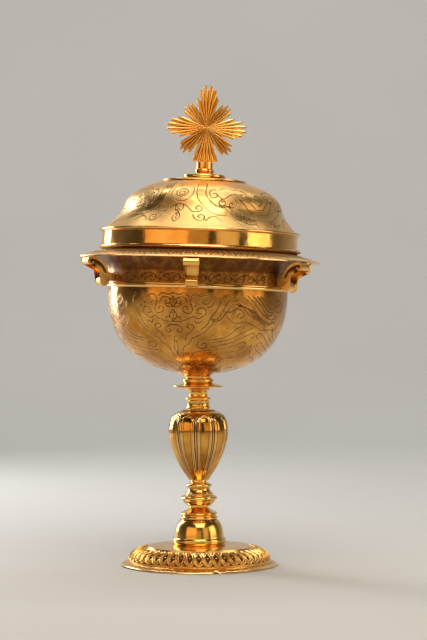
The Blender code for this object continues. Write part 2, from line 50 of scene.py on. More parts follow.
FOOT_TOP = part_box("foot")[1].z
FOOT_RADIUS = 0.0490
LIP_WIDTH = 0.0043
LIP_THICKNESS = 0.0007
SHEET = 0.0010
BORDER_FOOT = 0.0030
BORDER_RISE = 0.0086
BORDER_WIDTH = 0.0122
LINKS = 48
LINK_COLUMNS = 18
BORDER_ROWS = 76
BAND_SWING = 0.0056
BAND_HALF_WIDTH = 0.00120
BAND_RELIEF = 0.0009
BORDER_LENGTH = 0.0164
BOSS_RADIUS = 0.0008
BOSS_RELIEF = 0.55
BORDER_PAINTED_SHADE = 1.1
BORDER_SHADE_LEVEL = 0.58
BORDER_SATIN = 0.45
NICK_TURN = radians(12.4)
NICK_DEPTH = 0.0011
LIP_CURL_TURN = radians(-62)
LIP_CURL = 0.0006
LIP_WAVE = 0.00012


def smooth_line(points, steps):
    """A line through points as Catmull-Rom arcs: each arc is a cubic that leaves every point along the
    chord between its neighbours. A point given twice makes a sharp corner."""
    knots = np.array(points, float)
    knots = np.vstack([2 * knots[0] - knots[1], knots, 2 * knots[-1] - knots[-2]])
    before, start, end, after = knots[:-3], knots[1:-2], knots[2:-1], knots[3:]
    kept = np.linalg.norm(end - start, axis=1) > 1e-9
    corner_before = np.linalg.norm(start - before, axis=1) < 1e-9
    corner_after = np.linalg.norm(after - end, axis=1) < 1e-9
    before = np.where(corner_before[:, None], start * 2 - end, before)
    after = np.where(corner_after[:, None], end * 2 - start, after)
    share = (np.arange(steps) / steps)[None, :, None]
    before, start, end, after = (knot[kept][:, None] for knot in (before, start, end, after))
    line = 0.5 * (2 * start + (end - before) * share
                  + (2 * before - 5 * start + 4 * end - after) * share ** 2
                  + (3 * start - before - 3 * end + after) * share ** 3)
    return np.vstack([line.reshape(-1, knots.shape[1]), knots[-2]])


def lathe(radius, height, columns):
    """Rows of points round Z, from radii and heights that may also change along a row. The azimuth
    starts at the front, -Y, and grows to +X: x is radius times sine, y is minus radius times cosine."""
    azimuth = np.arange(columns) * 2 * pi / columns
    return np.stack(np.broadcast_arrays(radius * np.sin(azimuth), -radius * np.cos(azimuth), height),
                    axis=-1)


def turn_line(line, columns):
    """Turn a line of (radius, height) round Z."""
    return lathe(line[:, :1], line[:, 1:], columns)


def ramp(value, start, end):
    """A straight slope from 0 at the start to 1 at the end, and level outside them."""
    return np.clip((value - start) / (end - start), 0, 1)


def bell(value, middle, width):
    """The bell curve exp(-u squared), where u is the way from the middle over the width."""
    return np.exp(-((value - middle) / width) ** 2)


def hollows(grid, reach, ring=False):
    """How far each point of a grid lies below the mean of its neighbours, reach rows and columns
    away, as a share of 0.1 mm: above zero in a hollow and below zero on a ridge."""
    ahead = np.roll(grid, -1, axis=1) - np.roll(grid, 1, axis=1)
    down = np.gradient(grid, axis=0)
    outward = np.cross(down, ahead)
    outward /= np.linalg.norm(outward, axis=-1, keepdims=True) + 1e-15
    upper, lower = np.arange(len(grid)) - reach, np.arange(len(grid)) + reach
    if ring:
        upper, lower = upper % len(grid), lower % len(grid)
    upper, lower = upper.clip(min=0), lower.clip(max=len(grid) - 1)
    around = (grid[upper] + grid[lower] + np.roll(grid, reach, axis=1)
              + np.roll(grid, -reach, axis=1)) / 4
    return ((around - grid) * outward).sum(-1) / 0.0001


def add_object(name, data):
    """Put a mesh, a lamp or the camera into the scene."""
    thing = bpy.data.objects.new(name, data)
    bpy.context.scene.collection.objects.link(thing)
    return thing


def skin(name, grid, material, fields, ring=False, crease=35):
    """A closed mesh over rows of points, each row once round and the rows running down the outside.
    The first and last rows are poles, of which one point is used, or with ring the last row meets
    the first. Corner numbers of all quads are worked out at once, and a quad at a pole loses the
    corner that it has twice. Each field becomes a point attribute."""
    rows, around = grid.shape[:2]
    used = slice(0, rows * around) if ring else slice(around - 1, (rows - 1) * around + 1)
    number = np.arange(rows * around).reshape(rows, around)
    number = number.clip(used.start, used.stop - 1) - used.start
    upper, lower = (number, np.roll(number, -1, axis=0)) if ring else (number[:-1], number[1:])
    quads = np.stack([upper, lower, np.roll(lower, -1, 1), np.roll(upper, -1, 1)], axis=-1)
    kept = quads != np.roll(quads, -1, axis=-1)
    sizes, corners = kept.sum(axis=-1).ravel(), quads[kept]
    points = grid.reshape(-1, 3)[used]
    mesh = bpy.data.meshes.new(name)
    mesh.vertices.add(len(points))
    mesh.vertices.foreach_set("co", points.ravel())
    mesh.loops.add(len(corners))
    mesh.loops.foreach_set("vertex_index", corners)
    mesh.polygons.add(len(sizes))
    mesh.polygons.foreach_set("loop_start", np.cumsum(sizes) - sizes)
    mesh.update(calc_edges=True)
    for title, field in fields.items():
        layer = mesh.attributes.new(title, "FLOAT", "POINT")
        layer.data.foreach_set("value", field.ravel()[used].astype(np.float32))
    mesh.shade_smooth()
    mesh.set_sharp_from_angle(angle=radians(crease))
    mesh.materials.append(material)
    return add_object(name, mesh)


def seat(piece, node):
    """Let a piece ride on the body and stand for its solid, which is hidden."""
    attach(piece, "root")
    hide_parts(node)


def shader_group(name, inputs, outputs):
    """A shader group with named sockets, each a colour or a number as its value is. With the group
    come the sockets that bring in what it is given and the node that takes what it puts out."""
    group = bpy.data.node_groups.new(name, "ShaderNodeTree")
    for side, sockets in (("INPUT", inputs), ("OUTPUT", outputs)):
        for title, value in sockets.items():
            kind = "NodeSocketColor" if isinstance(value, tuple) else "NodeSocketFloat"
            group.interface.new_socket(title, in_out=side, socket_type=kind).default_value = value
    return group, group.nodes.new("NodeGroupInput").outputs, group.nodes.new("NodeGroupOutput")


def feed(tree, node, inputs):
    """Link inputs of a node to sockets, or set them to plain values."""
    for title, given in inputs.items():
        if isinstance(given, bpy.types.NodeSocket):
            tree.links.new(given, node.inputs[title])
        else:
            node.inputs[title].default_value = given


def attribute(tree, name):
    """The value of a point attribute."""
    node = tree.nodes.new("ShaderNodeAttribute")
    node.attribute_name = name
    return node.outputs["Fac"]


def math_node(tree, operation, *given):
    """A Math node fed by sockets or plain numbers; its value socket comes back."""
    node = tree.nodes.new("ShaderNodeMath")
    node.operation = operation
    feed(tree, node, dict(enumerate(given)))
    return node.outputs[0]


def ramp_node(tree, value, low, high, start=0.0, end=1.0):
    """A clamped smooth ramp of a value from start to end between two levels."""
    node = tree.nodes.new("ShaderNodeMapRange")
    node.interpolation_type = "SMOOTHSTEP"
    feed(tree, node, {"Value": value, "From Min": low, "From Max": high, "To Min": start,
                      "To Max": end})
    return node.outputs[0]


def noise_node(tree, place, scale, detail=3.0, rough=0.55, stretch=None):
    """Noise in metres of the piece's own space, stretched along an axis if wanted."""
    if stretch:
        mapping = tree.nodes.new("ShaderNodeMapping")
        feed(tree, mapping, {"Vector": place, "Scale": stretch})
        place = mapping.outputs["Vector"]
    node = tree.nodes.new("ShaderNodeTexNoise")
    feed(tree, node, {"Vector": place, "Scale": scale, "Detail": detail, "Roughness": rough})
    return node.outputs["Fac"]


def mix_node(tree, share, first, second):
    """Blend two colours by a share."""
    node = tree.nodes.new("ShaderNodeMix")
    node.data_type = "RGBA"
    feed(tree, node, {"Factor": share, "A": first, "B": second})
    return node.outputs["Result"]


def make_gilding():
    """The gilding that every piece shares. Cloudy tone, brown tarnish in the hollows together with
    painted shade where a piece raises its hollow attribute, pale rubbed ridges, specks, polishing
    scratches and the faint rings left by turning."""
    group, given, leave = shader_group(
        "old gilding",
        {"Hollow": 0.0, "Gold": (0.9, 0.55, 0.16, 1), "Deep gold": (0.7, 0.3, 0.05, 1),
         "Tarnish and shade": (0.13, 0.046, 0.013, 1), "Rubbed": (1.0, 0.72, 0.32, 1), "Tarnish reach": 1.0,
         "Rub reach": 1.0, "Polish": 0.2, "Dents": 1.0, "Satin": 0.0},
        {"Color": (1.0, 1.0, 1.0, 1), "Roughness": 0.0, "Height": 0.0})
    place = group.nodes.new("ShaderNodeTexCoord").outputs["Object"]
    clouds = noise_node(group, place, 45, 4.0, 0.6)
    blots = noise_node(group, place, 210, 3.0, 0.65)
    specks = noise_node(group, place, 1500, 2.0, 0.6)
    scratches = noise_node(group, place, 900, 2.0, 0.7, (1.0, 0.35, 0.08))
    cross_scratches = noise_node(group, place, 1100, 2.0, 0.7, (0.12, 1.0, 0.9))
    rings = noise_node(group, place, 1300, 2.0, 0.5, (0.01, 0.01, 1.0))
    dents = noise_node(group, place, 95, 2.0, 0.5)
    matting = noise_node(group, place, 1700, 1.0, 0.5)

    colour = mix_node(group, ramp_node(group, clouds, 0.36, 0.66), given["Deep gold"], given["Gold"])
    ridge = math_node(group, "MULTIPLY", given["Hollow"], -1.0)
    ridge = math_node(group, "MULTIPLY", ridge, given["Rub reach"])
    rubbed = math_node(group, "MULTIPLY", ramp_node(group, ridge, 0.1, 1.2), 0.75)
    pale = math_node(group, "MULTIPLY", given["Satin"], 0.35)
    for share in (rubbed, pale):
        colour = mix_node(group, share, colour, given["Rubbed"])
    # Tarnish in the hollows, and painted shade where a piece puts it into the hollow attribute.
    sunk = math_node(group, "MULTIPLY", given["Hollow"], given["Tarnish reach"])
    sunk = math_node(group, "ADD", sunk, math_node(group, "MULTIPLY_ADD", blots, 0.9, -0.5))
    speck = math_node(group, "MULTIPLY", ramp_node(group, specks, 0.68, 0.76),
                      ramp_node(group, blots, 0.5, 0.62))
    dark = math_node(group, "MAXIMUM", ramp_node(group, sunk, 0.15, 1.1),
                     math_node(group, "MULTIPLY", speck, 0.7))

    rough = math_node(group, "MULTIPLY_ADD", blots, 0.16, -0.07)
    rough = math_node(group, "ADD", rough, given["Polish"])
    for mask, gain in ((dark, 0.35), (given["Satin"], 0.22),
                       (ramp_node(group, scratches, 0.6, 0.75), 0.06)):
        rough = math_node(group, "MULTIPLY_ADD", mask, gain, rough)

    height = math_node(group, "MULTIPLY", math_node(group, "MULTIPLY", dents, given["Dents"]), 0.9)
    for mask, gain in ((ramp_node(group, scratches, 0.62, 0.72), -0.02),
                       (ramp_node(group, cross_scratches, 0.64, 0.74), -0.016),
                       (rings, 0.012), (dark, -0.03),
                       (math_node(group, "MULTIPLY", matting, given["Satin"]), 0.12)):
        height = math_node(group, "MULTIPLY_ADD", mask, gain, height)
    feed(group, leave, {"Color": mix_node(group, dark, colour, given["Tarnish and shade"]),
                        "Roughness": rough, "Height": height})
    return group


gilding = make_gilding()


def gilt(name, gold, deep, polish, tarnish_and_shade_reach=1.0, rub_reach=1.0, dents=1.0):
    """A gilt metal with the shared gilding. The hollow attribute says where tarnish settles and where
    shade is painted in, and the satin one where the surface was left less polished."""
    material = bpy.data.materials.new(name)
    material.use_nodes = True
    tree = material.node_tree
    finish = tree.nodes.new("ShaderNodeGroup")
    finish.node_tree = gilding
    finish.name = "gilding"
    feed(tree, finish, {"Gold": (*gold, 1), "Deep gold": (*deep, 1), "Polish": polish,
                        "Tarnish reach": tarnish_and_shade_reach, "Rub reach": rub_reach, "Dents": dents,
                        "Hollow": attribute(tree, "hollow"), "Satin": attribute(tree, "satin")})
    bump = tree.nodes.new("ShaderNodeBump")
    feed(tree, bump, {"Strength": 0.35, "Distance": 0.0006, "Height": finish.outputs["Height"]})
    feed(tree, tree.nodes["Principled BSDF"],
         {"Metallic": 1.0, "Base Color": finish.outputs["Color"],
          "Roughness": finish.outputs["Roughness"], "Normal": bump.outputs["Normal"]})
    return material


# A strong tarnish reach, which also deepens the painted shade in the foot border's grooves.
cast_gilt = gilt("cast gilt", (0.95, 0.59, 0.17), (0.84, 0.42, 0.09), 0.21, tarnish_and_shade_reach=2.2,
                 rub_reach=0.5)


def braid_relief(rows, columns):
    """Height, 0 to 1, over one link of a two-strand braid. Each band is a flat strip with a ridge
    along both edges; its middle follows a cosine, pulled sideways so that the loops are round.
    The band that runs down to the right always passes over the other, and a boss fills the eye."""
    pitch = 2 * pi * (FOOT_RADIUS - LIP_WIDTH - BORDER_WIDTH / 2) / LINKS
    across = (np.arange(rows) / (rows - 1) - 0.5) * BORDER_LENGTH
    along = np.arange(columns) / columns * pitch
    step = np.linspace(-1.5, 2.5, 480)
    lean = 0.07 * np.sin(2 * pi * step)
    cells = np.stack(np.meshgrid(across, along, indexing="ij"), axis=-1)

    def band(side):
        middle = np.stack([side * BAND_SWING * np.cos(pi * step), (step + lean) * pitch], axis=-1)
        gap = np.linalg.norm(cells[:, :, None] - middle, axis=-1)
        nearest = gap.argmin(axis=-1)
        falling = -np.sin(pi * step[nearest]) * side
        return gap.min(axis=-1) / BAND_HALF_WIDTH, falling

    def section(gap):
        return (0.28 + 0.72 * bell(gap, 0.66, 0.24)) * ramp(gap, 1.12, 0.96)

    first, first_falls = band(1)
    second, second_falls = band(-1)
    upper = np.where(first_falls > second_falls, first, second)
    lower = np.where(first_falls > second_falls, second, first)
    boss = np.minimum(np.linalg.norm(cells, axis=-1), np.linalg.norm(cells - (0, pitch), axis=-1))
    ground = BOSS_RELIEF * np.clip(1 - (boss / BOSS_RADIUS) ** 2, 0, 1)
    under = np.maximum(section(lower) * 0.80 * ramp(upper, 1.08, 1.38), ground)
    return np.where(upper < 1.12, section(upper), under)


def border_fade(rows, low=0.0):
    """One over the border, falling to a low share over its first and last rows."""
    number = np.arange(BORDER_ROWS)
    return np.clip(np.minimum(number, number[::-1]) / rows, low, 1)[:, None]


def foot_grid(relief):
    """Rows down the polished top, over the carved border and the lip, then back up the hollow; and
    which of them are the border's."""
    columns = LINKS * LINK_COLUMNS
    outer = FOOT_RADIUS - LIP_WIDTH
    inner = outer - BORDER_WIDTH
    top = BORDER_FOOT + BORDER_RISE
    crown = smooth_line([(0, FOOT_TOP), (0.0165, FOOT_TOP), (0.0240, FOOT_TOP - 0.0002),
                         (inner - 0.0012, top + 0.0005), (inner - 0.0004, top + 0.0001)], 3)
    angle = np.linspace(pi / 2, 0, BORDER_ROWS)[:, None]
    reach, rise = BORDER_WIDTH - BAND_RELIEF, BORDER_RISE - BAND_RELIEF
    lift = BAND_RELIEF * relief * border_fade(3)
    border = lathe(inner + (reach + lift) * np.cos(angle),
                   BORDER_FOOT + (rise + lift) * np.sin(angle), columns)
    lip = smooth_line([(outer, BORDER_FOOT - 0.0002), (outer + 0.0004, 0.0025), (outer + 0.0010, 0.0021),
                       (outer + 0.0010, 0.0021), (FOOT_RADIUS - 0.0009, LIP_THICKNESS + 0.0006),
                       (FOOT_RADIUS - 0.0001, LIP_THICKNESS - 0.0001), (FOOT_RADIUS, 0.0003),
                       (FOOT_RADIUS - 0.0003, 0.0), (FOOT_RADIUS - 0.0003, 0.0),
                       (FOOT_RADIUS - 0.0022, 0.0)], 2)
    hollow = smooth_line([(outer - 0.0014, BORDER_FOOT - SHEET), (outer - 0.0024, 0.0050),
                          (inner + 0.0050, top - 0.0034), (inner, top - SHEET - 0.0014),
                          (0.0, FOOT_TOP - SHEET)], 2)
    grid = np.concatenate([turn_line(crown, columns), border, turn_line(lip, columns),
                           turn_line(hollow, columns)])
    return grid, slice(len(crown), len(crown) + BORDER_ROWS)


def polar(grid):
    """Azimuth, from the front towards +X, and radius of points round Z."""
    return np.arctan2(grid[..., 0], -grid[..., 1]), np.hypot(grid[..., 0], grid[..., 1])


def wear_lip(grid):
    """Curl the lip up at the left with a bell curve, let it wave a little all round, and press a
    short nick into its front edge. All grow with the square or cube of the way out over the lip."""
    azimuth, radius = polar(grid)
    outer = ramp(radius, FOOT_RADIUS - LIP_WIDTH, FOOT_RADIUS)
    curl = LIP_CURL * bell(azimuth, LIP_CURL_TURN, radians(22))
    nick = NICK_DEPTH * np.exp(-((azimuth - NICK_TURN) / radians(1.9)) ** 4)
    wave = LIP_WAVE * (1 + np.sin(7 * azimuth + 0.6) * np.cos(3 * azimuth))
    grid[..., 2] += (curl + wave) * outer ** 2
    grid[..., :2] *= (1 - nick * outer ** 3 / radius.clip(min=0.001))[..., None]
    low = (radius > FOOT_RADIUS - 0.0024) & (grid[..., 2] < 0.0016)
    grid[..., 2] += np.where(low, 0.7 * nick * outer, 0)
    return grid


braid = np.tile(braid_relief(BORDER_ROWS, LINK_COLUMNS), (1, LINKS))
grid, border_rows = foot_grid(braid)
grid = wear_lip(grid)
fields = {"hollow": hollows(grid, 3).clip(max=0.3), "satin": np.zeros(grid.shape[:2])}
# On the border the hollow attribute follows the braid's relief: painted shade darkens the grooves and
# painted highlight pales the ridges.
fields["hollow"][border_rows] = BORDER_PAINTED_SHADE * (BORDER_SHADE_LEVEL - braid) * border_fade(12, 0.15)
fields["satin"][border_rows] = BORDER_SATIN
seat(skin("foot_shell", grid, cast_gilt, fields), "foot")


# The drum: a bell-shaped hollow casting, turned and polished, with a rolled base. It stands on the
# foot and starts the stem, which leans 0.4 degrees left.

STEM_LEAN = radians(-0.4)
SEAM = 0.0003
DRUM_HEIGHT = 0.0152
polished_gilt = gilt("polished gilt", (0.94, 0.58, 0.16), (0.84, 0.44, 0.09), 0.16,
                     tarnish_and_shade_reach=0.8, dents=0.6)


def lean_over(points, lean, base=0.0):
    """Tip points about the Y axis, towards +X, and set them on a base point."""
    turn = np.array([[cos(lean), 0, sin(lean)], [0, 1, 0], [-sin(lean), 0, cos(lean)]])
    return points @ turn.T + base


def closed(outside):
    """The line of an outside, closed with flat ends on the axis."""
    return np.vstack([[0, outside[0, 1]], outside, [0, outside[-1, 1]]])


def polished_piece(name, node, line, columns, base, lean):
    """One turned and polished piece from its line of (radius, height), standing on a base point of
    a leaning axis, in place of its solid."""
    grid = lean_over(turn_line(line, columns), lean, base)
    seat(skin(name, grid, polished_gilt, {"hollow": hollows(grid, 2)}), node)


stem_base = np.array([0.0, 0.0, FOOT_TOP])
stem_rise = lean_over((0, 0, 1), STEM_LEAN)
level = 0.0
drum_line = smooth_line([
    (0.0110, 0.0155), (0.0117, 0.0152), (0.0117, 0.0152), (0.0122, 0.0146), (0.0131, 0.0135),
    (0.0139, 0.0120), (0.0144, 0.0106), (0.0149, 0.0088), (0.0152, 0.0068), (0.0154, 0.0050),
    (0.0155, 0.0044), (0.0155, 0.0044), (0.0161, 0.0041), (0.0166, 0.0031), (0.0166, 0.0018),
    (0.0162, 0.0008), (0.0157, 0.0004), (0.0157, 0.0004), (0.0162, 0.0)], 5)
polished_piece("drum", "foot_drum", closed(drum_line), 144, stem_base, STEM_LEAN)
level += DRUM_HEIGHT + 2 * SEAM


# The collar: two thin lips turned on the top of the drum, with a groove between them, drawn in to
# a narrow waist. Turned and polished like the drum, and soldered to it.

COLLAR_HEIGHT = 0.0078
collar_line = smooth_line([
    (0.0056, 0.0081), (0.0057, 0.0076), (0.0061, 0.0068), (0.0072, 0.0059), (0.0088, 0.0051),
    (0.0104, 0.0044), (0.0112, 0.0039), (0.0114, 0.0034), (0.0111, 0.0030), (0.0107, 0.0026),
    (0.0106, 0.0021), (0.0108, 0.0017), (0.0114, 0.0014), (0.0116, 0.0009), (0.0115, 0.0004),
    (0.0112, 0.0)], 4)
polished_piece("collar", "drum_collar", closed(collar_line), 128, stem_base + stem_rise * level,
               STEM_LEAN)
level += COLLAR_HEIGHT + SEAM


# The lower knop: a small knop with a sharp ridge, a thin fillet and a round ring above it. Turned
# from a thick casting; old polish has gathered in its grooves.

KNOP_HEIGHT = 0.0157
knop_line = smooth_line([
    (0.0049, 0.0160), (0.0050, 0.0153), (0.0050, 0.0147), (0.0058, 0.0142), (0.0072, 0.0139),
    (0.0080, 0.0131), (0.0079, 0.0122), (0.0072, 0.0115), (0.0068, 0.0110), (0.0068, 0.0110),
    (0.0069, 0.0102), (0.0074, 0.0092), (0.0083, 0.0083), (0.0089, 0.0077), (0.0089, 0.0077),
    (0.0089, 0.0069), (0.0089, 0.0069), (0.0097, 0.0065), (0.0109, 0.0058), (0.0114, 0.0050),
    (0.0111, 0.0042), (0.0102, 0.0036), (0.0102, 0.0036), (0.0100, 0.0031), (0.0094, 0.0021),
    (0.0085, 0.0013), (0.0079, 0.0008), (0.0078, 0.0)], 4)
polished_piece("small_knop", "lower_knop", closed(knop_line), 128, stem_base + stem_rise * level,
               STEM_LEAN)
level += KNOP_HEIGHT + SEAM


# The baluster knop: a hollow pear-shaped knop in ten tall panels with rounded tops, chased from
# the outside. Each panel has a raised double outline, and a rib stands between two panels.

BALUSTER_HEIGHT = 0.0445
BALUSTER_RADIUS = 0.0184
BALUSTER_NECK = 0.0061
SHOULDER_RADIUS = 0.0105
WIDEST_SHARE = 0.7
SHOULDER_SHARE = 0.97
PANELS = 10
PANEL_TURN = radians(13)
PANEL_HALF_SHARE = 0.385
ARCH_SHARE = 0.845
OUTLINE_LIFT = 0.00036
OUTLINE_WIDTH = 0.00030
INNER_LINE = 0.00095
INNER_LINE_WIDTH = 0.00026
SWELL_LIFT = 0.00010
RIB_LIFT = 0.00028
GUTTER_DEPTH = 0.00020
BLEMISH_TURN = radians(71)
BLEMISH_SHARE = 0.615
BLEMISH_LIFT = 0.00022
RING_DEPTH = 0.00018
PANEL_COLUMNS = 28
BALUSTER_ROWS = 170
worn_gilt = gilt("worn gilt", (0.84, 0.44, 0.09), (0.46, 0.19, 0.025), 0.12, tarnish_and_shade_reach=1.1,
                 dents=1.6)


def baluster_radius(share):
    """Radius at a share of the height: a sine swelling to the widest point, then a quarter ellipse
    to the shoulder, then a short straight top."""
    rise = np.sin(ramp(share, 0, WIDEST_SHARE) * pi / 2)
    pear = BALUSTER_NECK + (BALUSTER_RADIUS - BALUSTER_NECK) * rise
    turn = ramp(share, WIDEST_SHARE, SHOULDER_SHARE)
    shoulder = SHOULDER_RADIUS + (BALUSTER_RADIUS - SHOULDER_RADIUS) * np.sqrt(1 - turn ** 2)
    top = SHOULDER_RADIUS - 0.0020 * ramp(share, SHOULDER_SHARE, 1)
    return np.where(share < WIDEST_SHARE, pear, np.where(share < SHOULDER_SHARE, shoulder, top))


def panel_relief(share, azimuth, radius):
    """Lift of the chased panels in metres. The distance from a panel's outline, a tall strip with a
    half-round top, gives a raised line along it, a second one inside and a gutter outside. The panel
    itself swells, and a rib stands halfway between two panels."""
    spread = 2 * pi / PANELS
    offset = (azimuth - PANEL_TURN + spread / 2) % spread - spread / 2
    half = radius * spread * PANEL_HALF_SHARE
    sideways = np.abs(offset) * radius
    above = (share - ARCH_SHARE).clip(min=0) * BALUSTER_HEIGHT
    inside = half - np.hypot(sideways, above * 1.15)
    outline = bell(inside, 0, OUTLINE_WIDTH) + 0.75 * bell(inside, INNER_LINE, INNER_LINE_WIDTH)
    swell = ramp(inside, 0, half) ** 0.6
    rib = bell(sideways, radius * spread / 2, OUTLINE_WIDTH) * ramp(share, 0.90, 0.86)
    gutter = bell(inside, -0.00055, 0.00035)
    return ramp(share, 0.06, 0.16) * ramp(share, 0.99, 0.96) * (
        OUTLINE_LIFT * outline + SWELL_LIFT * swell + RIB_LIFT * rib - GUTTER_DEPTH * gutter)


def baluster_grid():
    """Rows down the baluster, with the panels' relief added along the radius, an incised ring over
    the arches and one oval blemish at the right."""
    columns = PANELS * PANEL_COLUMNS
    share = np.linspace(1, 0, BALUSTER_ROWS)[:, None]
    azimuth = (np.arange(columns) * 2 * pi / columns)[None]
    radius = baluster_radius(share)
    blemish = np.hypot((azimuth - BLEMISH_TURN) * BALUSTER_RADIUS / 0.0022,
                       (share - BLEMISH_SHARE) * BALUSTER_HEIGHT / 0.0046)
    lift = (panel_relief(share, azimuth, radius) - RING_DEPTH * bell(share, 0.955, 0.006)
            + BLEMISH_LIFT * bell(blemish, 1, 0.16))
    sides = lathe(radius + lift, share * BALUSTER_HEIGHT, columns)
    pole = np.zeros((1, columns, 3))
    return np.concatenate([pole + (0, 0, BALUSTER_HEIGHT), sides, pole])


grid = lean_over(baluster_grid(), STEM_LEAN, stem_base + stem_rise * level)
baluster = skin("baluster", grid, worn_gilt, {"hollow": 1.8 * hollows(grid, 2) + 0.15})
seat(baluster, "baluster_knop")
level += BALUSTER_HEIGHT + SEAM


# The neck: a short sleeve, one ring and a spool over the baluster. It is turned and polished, and
# soldered in between the knop and the disc.

NECK_HEIGHT = 0.0116
neck_line = smooth_line([
    (0.0070, 0.0119), (0.0074, 0.0116), (0.0074, 0.0116), (0.0069, 0.0109), (0.0061, 0.0101),
    (0.0058, 0.0092), (0.0058, 0.0082), (0.0060, 0.0075), (0.0066, 0.0071), (0.0072, 0.0069),
    (0.0072, 0.0069), (0.0078, 0.0066), (0.0080, 0.0060), (0.0078, 0.0054), (0.0073, 0.0050),
    (0.0073, 0.0050), (0.0070, 0.0046), (0.0069, 0.0037), (0.0069, 0.0022), (0.0070, 0.0015),
    (0.0074, 0.0010), (0.0076, 0.0005), (0.0075, 0.0)], 4)
polished_piece("neck", "neck_collar", closed(neck_line), 112, stem_base + stem_rise * level,
               STEM_LEAN)
level += NECK_HEIGHT + SEAM


# The disc: a thin sharp drip disc with a round ring and a spool on it, turned in one. Its left
# edge is a little bent.

DISC_HEIGHT = 0.0078
DISC_BEND = 0.0005
DISC_BEND_TURN = radians(-75)
disc_line = smooth_line([
    (0.0078, 0.0083), (0.0081, 0.0079), (0.0081, 0.0079), (0.0080, 0.0074), (0.0081, 0.0069),
    (0.0088, 0.0066), (0.0095, 0.0062), (0.0097, 0.0055), (0.0095, 0.0047), (0.0088, 0.0042),
    (0.0088, 0.0042), (0.0091, 0.0038), (0.0106, 0.0034), (0.0116, 0.0031), (0.0116, 0.0031),
    (0.0136, 0.0026), (0.0153, 0.0022), (0.0160, 0.0018), (0.0158, 0.0013), (0.0146, 0.0011),
    (0.0118, 0.0009), (0.0090, 0.0006), (0.0078, 0.0003), (0.0075, 0.0)], 4)
grid = turn_line(closed(disc_line), 144)
azimuth, radius = polar(grid)
grid[..., 2] += DISC_BEND * ramp(radius, 0.0120, 0.0160) ** 2 * bell(azimuth, DISC_BEND_TURN, 0.45)
grid = lean_over(grid, STEM_LEAN, stem_base + stem_rise * level)
disc = skin("drip_disc", grid, polished_gilt, {"hollow": hollows(grid, 2)})
seat(disc, "stem_disc")
level += DISC_HEIGHT + SEAM


# The saucer: a small dished saucer that takes the bowl, turned and polished. It is soldered on a
# little off centre, and from here up everything leans 1.8 degrees right.

BOWL_LEAN = radians(1.8)
BOWL_OFFSET = -0.0016
SAUCER_WAIST = 0.0081
SAUCER_HEIGHT = 0.0010
level += SAUCER_WAIST * abs(sin(BOWL_LEAN - STEM_LEAN))
saucer_base = lean_over((BOWL_OFFSET, 0, level), STEM_LEAN, stem_base)
saucer_line = smooth_line([
    (0.0120, 0.0028), (0.0130, 0.0029), (0.0133, 0.0026), (0.0132, 0.0021), (0.0124, 0.0016),
    (0.0110, 0.0011), (0.0096, 0.0006), (0.0084, 0.0001), (0.0081, -0.0004)], 4)
saucer_line = np.vstack([[0, SAUCER_HEIGHT], [0.0066, 0.0016], saucer_line, [0, -0.0004]])
polished_piece("saucer", "bowl_saucer", saucer_line, 128, saucer_base, BOWL_LEAN)


# The bowl: a deep round bowl raised from one sheet and gilded. Its belly is engraved all over with
# tendrils, straps and long leaves, and the flared gallery above it with a low band of scrolls.

BOWL_RADIUS = 0.0560
BOWL_DEPTH = 0.0524
FULLNESS = 2.4
GALLERY_RADIUS = 0.0588
GALLERY_HEIGHT = 0.0204
FLARE_HEIGHT = 0.0100
RIM_RADIUS = 0.0664
WIRE_HEIGHT = 0.0022
BOWL_PAINTED_SHADE = 0.42
GALLERY_PAINTED_SHADE = 0.35
BOWL_SATIN = 0.30
BOWL_COLUMNS = 600
BELLY_ROWS = 104
GALLERY_ROWS = 14


def make_engraved_line():
    """An engraved line where the signed distance passes zero close to a stroke: its mask, and the
    height of a cut with a slight burr on both sides."""
    group, given, leave = shader_group("engraved line", {"Side": 1.0, "Near": 1.0, "Width": 0.1},
                                       {"Mask": 0.0, "Height": 0.0})
    share = math_node(group, "DIVIDE", math_node(group, "ABSOLUTE", given["Side"]), given["Width"])
    close = ramp_node(group, given["Near"], 0.24, 0.30, 1.0, 0.0)
    cut = math_node(group, "MULTIPLY", ramp_node(group, share, 0.45, 1.2, 1.0, 0.0), close)
    burr = math_node(group, "MULTIPLY", ramp_node(group, share, 1.2, 2.2, 1.0, 0.0), close)
    height = math_node(group, "MULTIPLY_ADD", cut, -1.4, math_node(group, "MULTIPLY", burr, 0.4))
    feed(group, leave, {"Mask": cut, "Height": height})
    return group


engraved_line = make_engraved_line()


def engrave_material(material, width):
    """Add the engraved lines to a gilt material: they cut into it, and their dark colour is painted
    shade.
    """
    tree = material.node_tree
    finish, shader = tree.nodes["gilding"], tree.nodes["Principled BSDF"]
    line = tree.nodes.new("ShaderNodeGroup")
    line.node_tree = engraved_line
    feed(tree, line, {"Side": attribute(tree, "side"), "Near": attribute(tree, "near"),
                      "Width": width})
    # Painted shade: the lines are darkened almost to black.
    dark = math_node(tree, "MULTIPLY", line.outputs["Mask"], 0.93)
    colour = mix_node(tree, dark, finish.outputs["Color"], (0.07, 0.028, 0.008, 1))
    height = math_node(tree, "MULTIPLY_ADD", line.outputs["Height"], 0.40, finish.outputs["Height"])
    feed(tree, shader, {"Base Color": colour})
    feed(tree, shader.inputs["Normal"].links[0].from_node, {"Height": height})


bowl_gilt = gilt("engraved bowl gilt", (0.84, 0.42, 0.08), (0.46, 0.18, 0.022), 0.12, dents=1.5)
engrave_material(bowl_gilt, 0.12)
bowl_rise = lean_over((0, 0, 1), BOWL_LEAN)
bowl_base = saucer_base + bowl_rise * (SAUCER_HEIGHT + SEAM)


def even_rows(line, count):
    """Space points evenly along a line."""
    length = np.concatenate([[0], np.cumsum(np.linalg.norm(np.diff(line, axis=0), axis=1))])
    wanted = np.linspace(0, length[-1], count)
    return np.stack([np.interp(wanted, length, line[:, axis]) for axis in (0, 1)], axis=-1)


